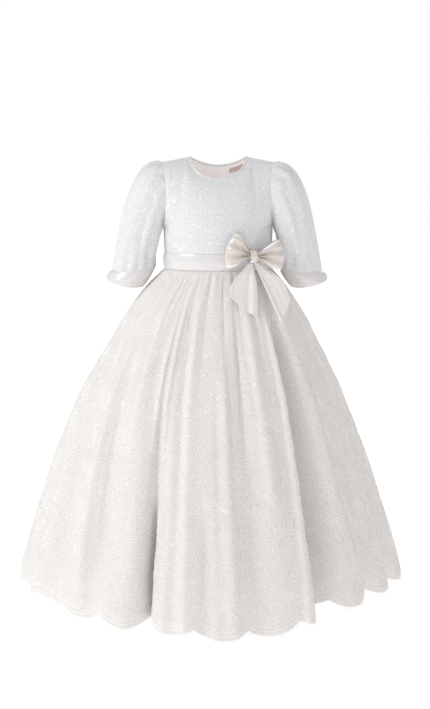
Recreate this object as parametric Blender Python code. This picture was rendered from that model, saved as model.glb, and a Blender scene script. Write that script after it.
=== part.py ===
"""Girl's lace dress with puff sleeves, a full scalloped skirt and a satin bow.

Metres, +Z up, the front faces -Y, +X is the viewer's right.
The origin is on the centre line at the height of the neck points.
Every cut piece is one closed wall: a grid of outer points, the same grid moved
inward along its normals, and rims. Pieces stand about 0.3 mm apart at the seams.
"""
import math

import bmesh
import bpy
import numpy as np

for item in list(bpy.data.objects):
    bpy.data.objects.remove(item, do_unlink=True)

HALF_SEAM = 0.00015
LACE_WALL = 0.0015
SATIN_WALL = 0.0015
THIN_WALL = 0.0010

# Bodice
WAIST_Z = -0.2090
WAIST_HALF_WIDTH = 0.1175
WAIST_HALF_DEPTH = 0.0915
NECK_HALF_WIDTH = 0.064
NECK_FRONT_DEPTH = 0.055
NECK_FRONT_DROP = 0.0485
NECK_FRONT_POWER = 1.2
NECK_BACK_DEPTH = 0.045
NECK_BACK_DROP = 0.0190
NECK_BACK_POWER = 2.0
SHOULDER_HALF_WIDTH = 0.1205
SHOULDER_DROP = 0.0110
ARMHOLE_Z = -0.0805
ARMHOLE_HALF_HEIGHT = 0.0695
ARMHOLE_HALF_DEPTH = 0.046
ARMHOLE_INSET = 0.007
NECK_SHARE = 0.55
SIDE_SHARE = 0.30
NECK_STEPS = 7
SHOULDER_STEPS = 3
SIDE_STEPS = 2
ARMHOLE_STEPS = 9
# columns: out from the waist line and up from it, then out and down from the neck edge
FRONT_MIDDLE = (0.011, 0.055, 0.036, 0.040)
BACK_MIDDLE = (0.006, 0.060, 0.036, 0.050)
BINDING_HALF_WIDTH = 0.0026
BINDING_HALF_THICKNESS = 0.0012
BINDING_STEP = 0.0032

# Waistband
BAND_TOP = -0.2093
BAND_BOTTOM = -0.2442
BAND_HALF_WIDTH = 0.1187
BAND_HALF_DEPTH = 0.0927
BAND_WALL = 0.0018

# Sleeves and cuffs, for the viewer's right; the other side is mirrored
SLEEVE_HEAD_PLEATS = 12
SLEEVE_CUFF_GATHERS = 12
CUFF_TOP_CENTRE = (0.1805, 0.002, -0.2450)
CUFF_TOP_HALF = (0.0480, 0.0450)
CUFF_TOP_TILT = (-0.003, -0.005)
CUFF_LOW_CENTRE = (0.1990, 0.003, -0.2730)
CUFF_LOW_HALF = (0.0425, 0.0455)
CUFF_LOW_TILT = (0.008, -0.010)
LEFT_SPREAD = 0.005

# Skirt
SKIRT_TOP = -0.2445
SKIRT_HEM = -0.942
# columns: height, half width, half depth, centre x
SKIRT_SECTIONS = (
    (-0.2445, 0.1187, 0.0927, 0.000),
    (-0.262, 0.131, 0.106, -0.001),
    (-0.293, 0.156, 0.131, -0.004),
    (-0.337, 0.188, 0.163, -0.006),
    (-0.403, 0.227, 0.202, -0.009),
    (-0.491, 0.275, 0.250, -0.012),
    (-0.579, 0.312, 0.287, -0.0135),
    (-0.667, 0.345, 0.319, -0.014),
    (-0.755, 0.373, 0.347, -0.014),
    (-0.843, 0.400, 0.371, -0.014),
    (-0.975, 0.430, 0.396, -0.014),
)
# columns: angle at the waist, angle at the hem, depth at the hem, half width in degrees
FOLDS = (
    (-172.0, -170.0, 0.020, 5.0),
    (-152.0, -154.0, 0.028, 5.5),
    (-133.0, -131.0, 0.018, 5.0),
    (-115.0, -112.0, 0.026, 6.0),
    (-99.0, -101.0, 0.014, 4.6),
    (-76.0, -73.0, 0.016, 4.6),
    (-58.0, -56.0, 0.022, 5.0),
    (-43.0, -36.0, 0.020, 4.0),
    (-28.0, -19.0, 0.036, 4.2),
    (-10.0, -11.0, 0.010, 2.6),
    (12.0, 14.0, 0.022, 4.6),
    (40.0, 36.0, 0.036, 5.0),
    (57.0, 54.0, 0.018, 4.6),
    (75.0, 70.0, 0.018, 4.4),
    (96.0, 100.0, 0.012, 4.6),
    (109.0, 112.0, 0.026, 5.5),
    (128.0, 130.0, 0.018, 5.0),
    (147.0, 149.0, 0.030, 5.5),
    (166.0, 167.0, 0.018, 5.0),
)
# columns: angle, rise of the hem above its front level
HEM_RISE = (
    (-180.0, 0.006),
    (-120.0, 0.016),
    (-75.0, 0.021),
    (-50.0, 0.018),
    (-30.0, 0.010),
    (-8.0, 0.002),
    (10.0, -0.006),
    (21.0, 0.002),
    (33.0, 0.019),
    (60.0, 0.034),
    (90.0, 0.030),
    (130.0, 0.018),
    (180.0, 0.006),
)
GATHERS = 36
SCALLOPS = 24
SCALLOP_DEPTH = 0.018
SCALLOP_PHASE = 0.30
UNDERSKIRT_TOP = -0.2445
UNDERSKIRT_SHORTER = 0.068

# Bow
BOW_CENTRE = (0.0747, -0.0845, -0.2140)
KNOT_HALF = (0.0072, 0.0125, 0.0088)
# columns: name, side, yaw, tilt up, length at the middle, length at the corners, half height
BOW_LOOPS = (
    ("bow_loop_left", -1.0, 25.0, 15.5, 0.0650, 0.0530, 0.0370),
    ("bow_loop_right", 1.0, 10.0, 2.5, 0.0690, 0.0575, 0.0335),
)
# columns: name, then (x, z) of the root, the middle and the end for the left and the right edge
BOW_TAILS = (
    ("bow_tail_left",
     ((0.0640, -0.2290), (0.0284, -0.2692), (0.0265, -0.2966)),
     ((0.0735, -0.2290), (0.0824, -0.2721), (0.0819, -0.3411))),
    ("bow_tail_right",
     ((0.0765, -0.2284), (0.1073, -0.2985), (0.1325, -0.3526)),
     ((0.0865, -0.2284), (0.1213, -0.2673), (0.1544, -0.3056))),
)
LOOP_START = 0.0009
TAIL_SLOPE = 0.70
TAIL_TURN = 0.42
TAIL_CLEAR = 0.009

COLOURS = {
    "lace": (0.80, 0.77, 0.71, 1.0),
    "satin": (0.78, 0.74, 0.70, 1.0),
    "lining": (0.66, 0.58, 0.54, 1.0),
    "underskirt": (0.82, 0.80, 0.76, 1.0),
    "label": (0.35, 0.30, 0.28, 1.0),
}


def smooth(low, high, value):
    """Soft step from 0 at low to 1 at high."""
    part = np.clip((np.asarray(value, float) - low) / (high - low), 0.0, 1.0)
    return part * part * (3.0 - 2.0 * part)


def curve(place, value, at):
    """Smooth line through the given rows: cubic pieces with the mean slope at each row."""
    place = np.asarray(place, float)
    value = np.asarray(value, float)
    slope = np.gradient(value, place)
    index = np.clip(np.searchsorted(place, at) - 1, 0, len(place) - 2)
    step = place[index + 1] - place[index]
    part = np.clip((at - place[index]) / step, 0.0, 1.0)
    square = part * part
    cube = square * part
    return (value[index] * (2.0 * cube - 3.0 * square + 1.0)
            + step * slope[index] * (cube - 2.0 * square + part)
            + value[index + 1] * (3.0 * square - 2.0 * cube)
            + step * slope[index + 1] * (cube - square))


def bezier(first, second, third, last, part):
    """Cubic Bezier from first to last; part has one more axis for the coordinates."""
    rest = 1.0 - part
    return (rest ** 3 * first + 3.0 * rest * rest * part * second
            + 3.0 * rest * part * part * third + part ** 3 * last)


def material(slot):
    """Plain woven material for one slot."""
    found = bpy.data.materials.get(slot)
    if found:
        return found
    made = bpy.data.materials.new(slot)
    made.use_nodes = True
    shader = made.node_tree.nodes["Principled BSDF"]
    shader.inputs["Base Color"].default_value = COLOURS[slot]
    shader.inputs["Roughness"].default_value = 0.45 if slot == "satin" else 0.85
    return made


def grid_normals(grid, ring, centre):
    """Unit normals of a grid of points, turned away from the centre."""
    if ring:
        across = np.roll(grid, -1, axis=1) - np.roll(grid, 1, axis=1)
    else:
        across = np.gradient(grid, axis=1)
    along = np.gradient(grid, axis=0)
    normal = np.cross(across, along)
    normal /= np.maximum(np.linalg.norm(normal, axis=2, keepdims=True), 1e-12)
    if np.sum(normal * (grid - centre)) < 0.0:
        normal = -normal
    return normal


def add_wall(name, outer, inner, slot, ring=False):
    """One closed body between an outer and an inner grid, with rims at the free edges."""
    rows, columns = outer.shape[:2]
    count = rows * columns
    outside = np.arange(count).reshape(rows, columns)
    inside = outside + count
    quads = []
    last = columns if ring else columns - 1
    for row in range(rows - 1):
        for column in range(last):
            after = (column + 1) % columns
            quads.append((outside[row, column], outside[row, after],
                          outside[row + 1, after], outside[row + 1, column]))
            quads.append((inside[row, column], inside[row + 1, column],
                          inside[row + 1, after], inside[row, after]))
    for column in range(last):
        after = (column + 1) % columns
        quads.append((outside[0, after], outside[0, column], inside[0, column], inside[0, after]))
        quads.append((outside[-1, column], outside[-1, after], inside[-1, after], inside[-1, column]))
    if not ring:
        for row in range(rows - 1):
            quads.append((outside[row, 0], outside[row + 1, 0], inside[row + 1, 0], inside[row, 0]))
            quads.append((outside[row + 1, -1], outside[row, -1], inside[row, -1], inside[row + 1, -1]))
    points = np.concatenate([outer.reshape(-1, 3), inner.reshape(-1, 3)])
    faces = []
    for first, second, third, fourth in quads:
        # both faces of the wall are split along the same diagonal
        faces.append((int(first), int(second), int(third)))
        faces.append((int(first), int(third), int(fourth)))
    mesh = bpy.data.meshes.new(name)
    mesh.from_pydata(points.tolist(), [], faces)
    body = bmesh.new()
    body.from_mesh(mesh)
    bmesh.ops.recalc_face_normals(body, faces=body.faces)
    body.to_mesh(mesh)
    body.free()
    mesh.shade_smooth()
    mesh.set_sharp_from_angle(angle=math.radians(50.0))
    mesh.materials.append(material(slot))
    made = bpy.data.objects.new(name, mesh)
    bpy.context.scene.collection.objects.link(made)
    return made


# The neck and the bodice


def neck_line(angle, back):
    """Neck edge: angle 0 is the centre, a quarter turn is the neck point at the shoulder."""
    side = np.sin(angle)
    middle = np.abs(np.cos(angle))
    if back:
        return np.stack([NECK_HALF_WIDTH * side, NECK_BACK_DEPTH * middle,
                         -NECK_BACK_DROP * middle ** NECK_BACK_POWER], axis=-1)
    return np.stack([NECK_HALF_WIDTH * side, -NECK_FRONT_DEPTH * middle,
                     -NECK_FRONT_DROP * middle ** NECK_FRONT_POWER], axis=-1)


def neck_fall(angle, back):
    """Unit direction down the cloth at the neck edge."""
    side = np.sin(angle)
    middle = np.abs(np.cos(angle))
    forward = 0.62 if back else -0.62
    fall = np.stack([side, forward * middle, -0.20 * np.abs(side) - 0.78 * middle], axis=-1)
    return fall / np.linalg.norm(fall, axis=-1, keepdims=True)


def armhole(turn, back):
    """Armhole seam at the viewer's right: turn 0 is the shoulder, half a turn the underarm."""
    forward = 1.0 if back else -1.0
    return np.stack([SHOULDER_HALF_WIDTH - ARMHOLE_INSET * np.sin(turn) ** 2,
                     forward * ARMHOLE_HALF_DEPTH * np.sin(turn),
                     ARMHOLE_Z + ARMHOLE_HALF_HEIGHT * np.cos(turn)], axis=-1)


def bodice_top(place, back):
    """Top edge of a bodice panel from the centre: the neck edge, then the shoulder seam."""
    neck_angle = np.clip(place / NECK_SHARE, 0.0, 1.0) * math.pi / 2.0
    neck = neck_line(neck_angle, back) + BINDING_STEP * neck_fall(neck_angle, back)
    quarter = np.float64(math.pi / 2.0)
    neck_end = neck_line(quarter, back) + BINDING_STEP * neck_fall(quarter, back)
    along = np.clip((place - NECK_SHARE) / (1.0 - NECK_SHARE), 0.0, 1.0)[..., None]
    shoulder = neck_end * (1.0 - along) + armhole(np.float64(0.0), back) * along
    return np.where((place < NECK_SHARE)[..., None], neck, shoulder)


def bodice_side(rise, back):
    """Side edge of a bodice panel: the side seam up to the underarm, then the armhole."""
    seam = np.clip(rise / SIDE_SHARE, 0.0, 1.0)[..., None]
    foot = np.array([WAIST_HALF_WIDTH, 0.0, WAIST_Z])
    underarm = armhole(np.float64(math.pi), back)
    turn = math.pi * (1.0 - np.clip((rise - SIDE_SHARE) / (1.0 - SIDE_SHARE), 0.0, 1.0))
    return np.where((rise < SIDE_SHARE)[..., None], foot * (1.0 - seam) + underarm * seam,
                    armhole(turn, back))


def bodice_middle(rise, back):
    """Centre line of a bodice panel from the waist to the neck."""
    forward = 1.0 if back else -1.0
    out, up, neck_out, neck_down = BACK_MIDDLE if back else FRONT_MIDDLE
    foot = np.array([0.0, forward * WAIST_HALF_DEPTH, WAIST_Z])
    top = bodice_top(np.float64(0.0), back)
    return bezier(foot, foot + np.array([0.0, forward * out, up]),
                  top + np.array([0.0, forward * neck_out, -neck_down]), top, rise[..., None])


def bodice_row(place, rise, back):
    """Quarter oval from the centre line to the side edge."""
    middle = bodice_middle(rise, back)
    side = bodice_side(rise, back)
    angle = place * math.pi / 2.0
    return np.stack([side[..., 0] * np.sin(angle),
                     side[..., 1] + (middle[..., 1] - side[..., 1]) * np.cos(angle),
                     middle[..., 2] + (side[..., 2] - middle[..., 2]) * smooth(0.0, 1.0, place)], axis=-1)


def bodice(place, rise, back):
    """Bodice surface: place -1..1 from side to side, rise 0 at the waist and 1 at the top edge."""
    away = np.abs(place)
    full = np.ones_like(rise)
    change = bodice_top(away, back) - bodice_row(away, full, back)
    face = bodice_row(away, rise, back) + change * (rise ** 3)[..., None]
    face[..., 0] *= np.where(place < 0.0, -1.0, 1.0)
    return face


def mesh_places(columns, rows):
    """Two arrays over a grid: columns across, rows along."""
    return np.meshgrid(np.asarray(columns, float), np.asarray(rows, float))


def keep_side(points, axis, sign, middle=0.0, least=HALF_SEAM):
    """Hold the points on one side of a seam plane, half a seam away from it."""
    away = (points[..., axis] - middle) * sign
    points[..., axis] = middle + sign * np.maximum(away, least)
    return points


HALF_PLACES = np.concatenate([np.linspace(0.0, NECK_SHARE, NECK_STEPS + 1),
                              np.linspace(NECK_SHARE, 1.0, SHOULDER_STEPS + 1)[1:]])
BODICE_RISES = np.concatenate([np.linspace(0.0, SIDE_SHARE, SIDE_STEPS + 1),
                               np.linspace(SIDE_SHARE, 1.0, ARMHOLE_STEPS + 1)[1:]])


def bodice_grid(places, back):
    """Points and normals of one bodice panel; columns fall on the neck and shoulder corners."""
    place, rise = mesh_places(places, BODICE_RISES)
    face = bodice(place, rise, back)
    return face, grid_normals(face, False, np.array([0.0, 0.0, -0.12]))


def bodice_wall(name, grid, depth, wall, slot, seams):
    """Wall of a bodice or lining panel, depth metres behind the outer face."""
    face, normal = grid
    side = 0 if abs(face[0, 0, 0]) > abs(face[0, -1, 0]) else -1
    behind = np.full(face.shape[:2] + (1,), depth)
    if depth > 0.0:
        # the lining leans in a little along its free edges
        behind[-1] += EDGE_LEAN
        behind[:, side] += EDGE_LEAN
    outer = face - behind * normal
    inner = face - (behind + wall) * normal
    outer[0, :, 2] = WAIST_Z
    inner[0, :, 2] = WAIST_Z
    for axis, sign in seams:
        keep_side(outer, axis, sign)
        keep_side(inner, axis, sign)
    if depth > 0.0:
        # the lining stops short of the top edge and of the side seam
        beside = 1 if side == 0 else -2
        for points in (outer, inner):
            points[-1] = 0.30 * points[-2] + 0.70 * points[-1]
            points[:, side] = 0.30 * points[:, beside] + 0.70 * points[:, side]
    add_wall(name, outer, inner, slot)
    return inner


FRONT_SEAMS = ((1, -1.0),)
BACK_LEFT_SEAMS = ((1, 1.0), (0, -1.0))
BACK_RIGHT_SEAMS = ((1, 1.0), (0, 1.0))
LINING_IN = LACE_WALL + 2.4 * HALF_SEAM
EDGE_LEAN = 0.0008

back_left = bodice_grid(-HALF_PLACES[::-1], True)
back_right = bodice_grid(HALF_PLACES, True)
front = bodice_grid(np.concatenate([-HALF_PLACES[:0:-1], HALF_PLACES]), False)
bodice_wall("bodice_front", front, 0.0, LACE_WALL, "lace", FRONT_SEAMS)
bodice_wall("bodice_back_left", back_left, 0.0, LACE_WALL, "lace", BACK_LEFT_SEAMS)
bodice_wall("bodice_back_right", back_right, 0.0, LACE_WALL, "lace", BACK_RIGHT_SEAMS)
bodice_wall("lining_back_left", back_left, LINING_IN, THIN_WALL, "lining", BACK_LEFT_SEAMS)
lining_face = bodice_wall("lining_back_right", back_right, LINING_IN, THIN_WALL, "lining", BACK_RIGHT_SEAMS)


def sample_grid(grid, rows, columns):
    """Points between the rows and columns of a grid, in straight lines from one to the next."""
    row = np.minimum(rows.astype(int), grid.shape[0] - 2)
    column = np.minimum(columns.astype(int), grid.shape[1] - 2)
    up = (rows - row)[..., None]
    over = (columns - column)[..., None]
    near = grid[row, column] * (1.0 - over) + grid[row, column + 1] * over
    far = grid[row + 1, column] * (1.0 - over) + grid[row + 1, column + 1] * over
    return near * (1.0 - up) + far * up


# A bare label on the lining, just under the back neck edge
label_column, label_row = mesh_places((1.75, 2.0, 3.0, 4.0, 4.55), (9.8, 10.0, 10.65))
label_face = sample_grid(lining_face, label_row, label_column)
label_normal = grid_normals(label_face, False, np.array([0.0, 0.0, -0.12]))
add_wall("neck_label", label_face - 3.5 * HALF_SEAM * label_normal,
         label_face - (3.5 * HALF_SEAM + THIN_WALL) * label_normal, "label")


def neck_binding(name):
    """Folded strip over the neck edge: an oval section carried round the neck line."""
    turn = np.linspace(0.0, 2.0 * math.pi, 4 * NECK_STEPS, endpoint=False)
    back = np.cos(turn) < -1e-9
    line = np.where(back[:, None], neck_line(turn, True), neck_line(turn, False))
    fall = np.where(back[:, None], neck_fall(turn, True), neck_fall(turn, False))
    tangent = np.roll(line, -1, axis=0) - np.roll(line, 1, axis=0)
    tangent /= np.linalg.norm(tangent, axis=1, keepdims=True)
    fall -= tangent * np.sum(fall * tangent, axis=1, keepdims=True)
    fall /= np.linalg.norm(fall, axis=1, keepdims=True)
    out = np.cross(tangent, fall)
    around = np.linspace(0.0, 2.0 * math.pi, 6, endpoint=False)
    grid = (line[:, None, :]
            + BINDING_HALF_WIDTH * np.cos(around)[None, :, None] * fall[:, None, :]
            + BINDING_HALF_THICKNESS * np.sin(around)[None, :, None] * out[:, None, :])
    faces = []
    for row in range(len(turn)):
        for column in range(len(around)):
            next_row = (row + 1) % len(turn)
            after = (column + 1) % len(around)
            faces.append((row * 6 + column, row * 6 + after, next_row * 6 + after, next_row * 6 + column))
    mesh = bpy.data.meshes.new(name)
    mesh.from_pydata(grid.reshape(-1, 3).tolist(), [], faces)
    body = bmesh.new()
    body.from_mesh(mesh)
    bmesh.ops.recalc_face_normals(body, faces=body.faces)
    body.to_mesh(mesh)
    body.free()
    mesh.shade_smooth()
    mesh.set_sharp_from_angle(angle=math.radians(70.0))
    mesh.materials.append(material("satin"))
    made = bpy.data.objects.new(name, mesh)
    bpy.context.scene.collection.objects.link(made)


neck_binding("neck_binding")

# The sleeves and the cuffs


def cuff_ring(turn, centre, half, tilt, spread):
    """Ring of a cuff: turn 0 is the outer side, a quarter turn the front."""
    out = np.cos(turn)
    front = np.sin(turn)
    return np.stack([centre[0] + spread + half[0] * out, centre[1] - half[1] * front,
                     centre[2] + tilt[0] * out + tilt[1] * front], axis=-1)


def armhole_steps(turn):
    """Armhole seam in the same straight steps as the bodice panels; a full turn is the whole ring."""
    half = np.linspace(0.0, math.pi, ARMHOLE_STEPS + 1)
    knots = np.concatenate([half, 2.0 * math.pi - half[-2::-1]])
    points = np.concatenate([armhole(half, False), armhole(half[-2::-1], True)])
    return np.stack([np.interp(turn, knots, points[:, axis]) for axis in range(3)], axis=-1)


def sleeve(turn, fall, spread):
    """Sleeve surface: turn round the arm from the shoulder forward, fall 0 at the armhole, 1 at the cuff."""
    start = armhole_steps(turn) + np.array([2.0 * HALF_SEAM, 0.0, 0.0])
    end = cuff_ring(turn, CUFF_TOP_CENTRE, CUFF_TOP_HALF, CUFF_TOP_TILT, spread)
    end = end + np.array([0.0, 0.0, 2.0 * HALF_SEAM])
    top = (1.0 + np.cos(turn)) / 2.0
    front = np.sin(turn)
    leave = np.stack([0.008 + 0.060 * top, -0.014 * front, -0.030 + 0.046 * top], axis=-1)
    arrive = np.stack([-0.002 - 0.018 * top, -0.007 * front, 0.030 + 0.090 * top], axis=-1)
    return bezier(start, start + leave, end + arrive, end, fall[..., None])


def sleeve_waves(turn, fall):
    """Height of the head pleats and of the gathers over the cuff."""
    head = smooth(0.0, 0.07, fall) * (1.0 - smooth(0.10, 0.42, fall)) * (0.35 + 0.65 * smooth(-0.3, 0.6, np.cos(turn)))
    foot = smooth(0.72, 0.95, fall) * (1.0 - 0.8 * smooth(0.96, 1.0, fall))
    return (0.0022 * head * np.cos(SLEEVE_HEAD_PLEATS * turn)
            + 0.0014 * foot * np.cos(SLEEVE_CUFF_GATHERS * turn + 0.6)
            + 0.0020 * np.sin(3.0 * turn + 1.0) * np.sin(math.pi * fall) ** 2)


def add_sleeve(name, side, spread):
    """Sleeve tube and its band cuff on one side."""
    falls = (0.0, 0.06, 0.15, 0.30, 0.50, 0.72, 0.89, 1.0)
    turn, fall = mesh_places(np.linspace(0.0, 2.0 * math.pi, 4 * ARMHOLE_STEPS, endpoint=False), falls)
    face = sleeve(turn, fall, spread)
    middle = face.mean(axis=1, keepdims=True)
    normal = grid_normals(face, True, middle)
    outer = face + sleeve_waves(turn, fall)[..., None] * normal
    normal = grid_normals(outer, True, middle)
    inner = outer - LACE_WALL * normal
    inner[-1, :, 2] = outer[-1, :, 2]
    mirror = np.array([side, 1.0, 1.0])
    add_wall(name, outer * mirror, inner * mirror, "lace", True)


def add_cuff(name, side, spread):
    """Band cuff between its two rings."""
    turn, fall = mesh_places(np.linspace(0.0, 2.0 * math.pi, 36, endpoint=False), (0.0, 0.5, 1.0))
    top = cuff_ring(turn, CUFF_TOP_CENTRE, CUFF_TOP_HALF, CUFF_TOP_TILT, spread)
    low = cuff_ring(turn, CUFF_LOW_CENTRE, CUFF_LOW_HALF, CUFF_LOW_TILT, spread)
    face = top * (1.0 - fall[..., None]) + low * fall[..., None]
    normal = grid_normals(face, True, face.mean(axis=1, keepdims=True))
    face = face + (0.0012 * np.sin(math.pi * fall))[..., None] * normal
    flat = normal * np.array([1.0, 1.0, 0.0])
    flat /= np.linalg.norm(flat, axis=2, keepdims=True)
    inner = face - SATIN_WALL * flat
    mirror = np.array([side, 1.0, 1.0])
    add_wall(name, face * mirror, inner * mirror, "satin", True)


add_sleeve("sleeve_left", -1.0, LEFT_SPREAD)
add_sleeve("sleeve_right", 1.0, 0.0)
add_cuff("cuff_left", -1.0, LEFT_SPREAD)
add_cuff("cuff_right", 1.0, 0.0)

# The waistband: one strip round the waist, closed at the centre back


def add_waistband(name):
    """Strip round the waist ellipse with its ends half a seam from the centre back."""
    angle, fall = mesh_places(np.linspace(-math.pi, math.pi, 61), (0.0, 0.5, 1.0))
    swell = 0.0010 * np.sin(math.pi * fall)
    radial = np.stack([np.sin(angle), -np.cos(angle), 0.0 * angle], axis=-1)
    height = BAND_TOP + (BAND_BOTTOM - BAND_TOP) * fall
    size = np.array([BAND_HALF_WIDTH, BAND_HALF_DEPTH, 1.0])
    outer = radial * size + swell[..., None] * radial
    outer[..., 2] = height
    inner = outer - BAND_WALL * radial
    for grid in (outer, inner):
        grid[:, 0, 0] = -HALF_SEAM
        grid[:, -1, 0] = HALF_SEAM
    add_wall(name, outer, inner, "satin")


add_waistband("waistband")

# The skirts


def skirt_section(height):
    """Half width, half depth and centre of the skirt at a height."""
    rows = np.array(SKIRT_SECTIONS)[::-1]
    return (curve(rows[:, 0], rows[:, 1], height), curve(rows[:, 0], rows[:, 2], height),
            curve(rows[:, 0], rows[:, 3], height))


def fold_depth(angle, fall):
    """How far the folds draw the cloth in; each fold runs from its waist angle to its hem angle."""
    total = 0.0 * angle
    for at_waist, at_hem, depth, half in FOLDS:
        centre = np.radians(at_waist + (at_hem - at_waist) * smooth(0.0, 0.8, fall))
        away = (angle - centre + math.pi) % (2.0 * math.pi) - math.pi
        total = total + depth * np.exp(-(away / math.radians(half)) ** 2)
    return total * (0.10 * smooth(0.0, 0.08, fall) + 0.90 * smooth(0.04, 0.80, fall))


def hem_level(angle):
    """Height of the hem round the skirt before the scallops are cut."""
    rows = np.array(HEM_RISE)
    return SKIRT_HEM + curve(rows[:, 0], rows[:, 1], np.degrees(angle))


def skirt_surface(angle, fall, height, gather, share):
    """Skirt point: the section ellipse at that height, drawn in by the folds, let out by gathers."""
    half_width, half_depth, centre = skirt_section(height)
    change = gather - share * fold_depth(angle, fall)
    return np.stack([centre + (half_width + change) * np.sin(angle),
                     -(half_depth + change) * np.cos(angle), height], axis=-1)


def hem_lengths():
    """Angle and share of the hem's length walked from the centre back, folds and all."""
    angle = np.linspace(-math.pi, math.pi, 1441)
    full = np.ones_like(angle)
    line = skirt_surface(angle, full, hem_level(angle), 0.0 * full, 1.0)
    step = np.linalg.norm(np.diff(line, axis=0), axis=1)
    walked = np.concatenate([[0.0], np.cumsum(step)])
    return angle, walked / walked[-1], walked[-1]


HEM_ANGLE, HEM_SHARE, HEM_LENGTH = hem_lengths()


def cloth_share(angle):
    """Share of the cloth's width at an angle."""
    return np.interp(angle, HEM_ANGLE, HEM_SHARE)


def scallop_cut(share):
    """How far the edge is cut up between scallops: 0 at the middle, full at the points between."""
    part = (share * SCALLOPS + SCALLOP_PHASE) % 1.0
    return SCALLOP_DEPTH * (2.0 * part - 1.0) ** 2


def gather_height(share, fall):
    """Waist gathers: outward waves, uneven from one to the next, gone by mid skirt."""
    size = 0.0010 + 0.0048 * smooth(0.0, 0.05, fall)
    uneven = 0.70 + 0.30 * np.sin(2.0 * math.pi * 7.0 * share + 1.0) * np.sin(2.0 * math.pi * 11.0 * share)
    wave = 0.5 + 0.5 * np.cos(2.0 * math.pi * GATHERS * share)
    return size * uneven * wave * (1.0 - smooth(0.06, 0.45, fall))


def overskirt(angle, fall):
    """Lace overskirt: fall 0 at the waist seam and 1 at the scalloped edge."""
    share = cloth_share(angle)
    edge = hem_level(angle) + scallop_cut(share)
    height = SKIRT_TOP + (edge - SKIRT_TOP) * fall
    return skirt_surface(angle, fall, height, gather_height(share, fall), 1.0)


def skirt_columns(low, high, parts):
    """Column angles between two seams: even steps of cloth that fall on the scallop points."""
    steps = (np.arange(SCALLOPS * parts + 1) / parts - SCALLOP_PHASE) / SCALLOPS
    angles = np.interp(steps % 1.0, HEM_SHARE, HEM_ANGLE)
    margin = math.radians(0.9)
    inner = np.sort(angles[(angles > low + margin) & (angles < high - margin)])
    keep = np.concatenate([[True], np.diff(inner) > 1e-6])
    return np.concatenate([[low], inner[keep], [high]])


def skirt_wall(name, angles, falls, surface, wall, slot, seams):
    """Panel of a skirt between two seams; its inner face is moved in along the normals."""
    angle, fall = mesh_places(angles, falls)
    outer = surface(angle, fall)
    axis_points = outer * np.array([0.0, 0.0, 1.0])
    normal = grid_normals(outer, False, axis_points)
    inner = outer - wall * normal
    inner[0, :, 2] = outer[0, :, 2]
    for axis, sign in seams:
        middle = 0.0
        if axis == 0:
            middle = skirt_section(outer[..., 2])[2]
        keep_side(outer, axis, sign, middle)
        keep_side(inner, axis, sign, middle)
    add_wall(name, outer, inner, slot)


QUARTER = math.pi / 2.0
OVER_FALLS = (0.0, 0.022, 0.06, 0.12, 0.20, 0.32, 0.48, 0.66, 0.84, 1.0)
skirt_wall("overskirt_front", skirt_columns(-QUARTER, QUARTER, 6), OVER_FALLS, overskirt,
           LACE_WALL, "lace", ((1, -1.0),))
skirt_wall("overskirt_back_left", skirt_columns(-math.pi, -QUARTER, 6), OVER_FALLS, overskirt,
           LACE_WALL, "lace", ((1, 1.0), (0, -1.0)))
skirt_wall("overskirt_back_right", skirt_columns(QUARTER, math.pi, 6), OVER_FALLS, overskirt,
           LACE_WALL, "lace", ((1, 1.0), (0, 1.0)))


def underskirt(angle, fall):
    """Plain underskirt: sewn in under the waistband, keeps inside the lace, softer folds."""
    edge = hem_level(angle) + UNDERSKIRT_SHORTER
    height = UNDERSKIRT_TOP + (edge - UNDERSKIRT_TOP) * fall
    below = SKIRT_TOP - height
    inside = 0.0024 + 0.024 * smooth(0.0, 0.16, below)
    lower = np.minimum(height, SKIRT_TOP)
    half_width, half_depth, centre = skirt_section(lower)
    change = -inside - 0.6 * fold_depth(angle, np.clip(below / (SKIRT_TOP - SKIRT_HEM), 0.0, 1.0))
    return np.stack([centre + (half_width + change) * np.sin(angle),
                     -(half_depth + change) * np.cos(angle), height], axis=-1)


UNDER_FALLS = (0.0, 0.06, 0.16, 0.34, 0.64, 1.0)
skirt_wall("underskirt_front", np.linspace(-QUARTER, QUARTER, 32), UNDER_FALLS, underskirt,
           THIN_WALL, "underskirt", ((1, -1.0),))
skirt_wall("underskirt_back", np.linspace(QUARTER, 3.0 * QUARTER, 32), UNDER_FALLS,
           lambda angle, fall: underskirt((angle + math.pi) % (2.0 * math.pi) - math.pi, fall),
           THIN_WALL, "underskirt", ((1, 1.0),))

# The bow


def bow_axes(side, yaw, tilt):
    """Length, width and depth directions of one half of the bow."""
    turn = math.radians(yaw)
    lift = math.radians(tilt)
    flat = np.array([math.cos(turn), math.sin(turn), 0.0]) * side
    up = np.array([0.0, 0.0, 1.0])
    along = math.cos(lift) * flat + math.sin(lift) * up
    across = math.cos(lift) * up - math.sin(lift) * flat
    face = np.array([math.sin(turn), -math.cos(turn), 0.0])
    return along, across, face


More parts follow.
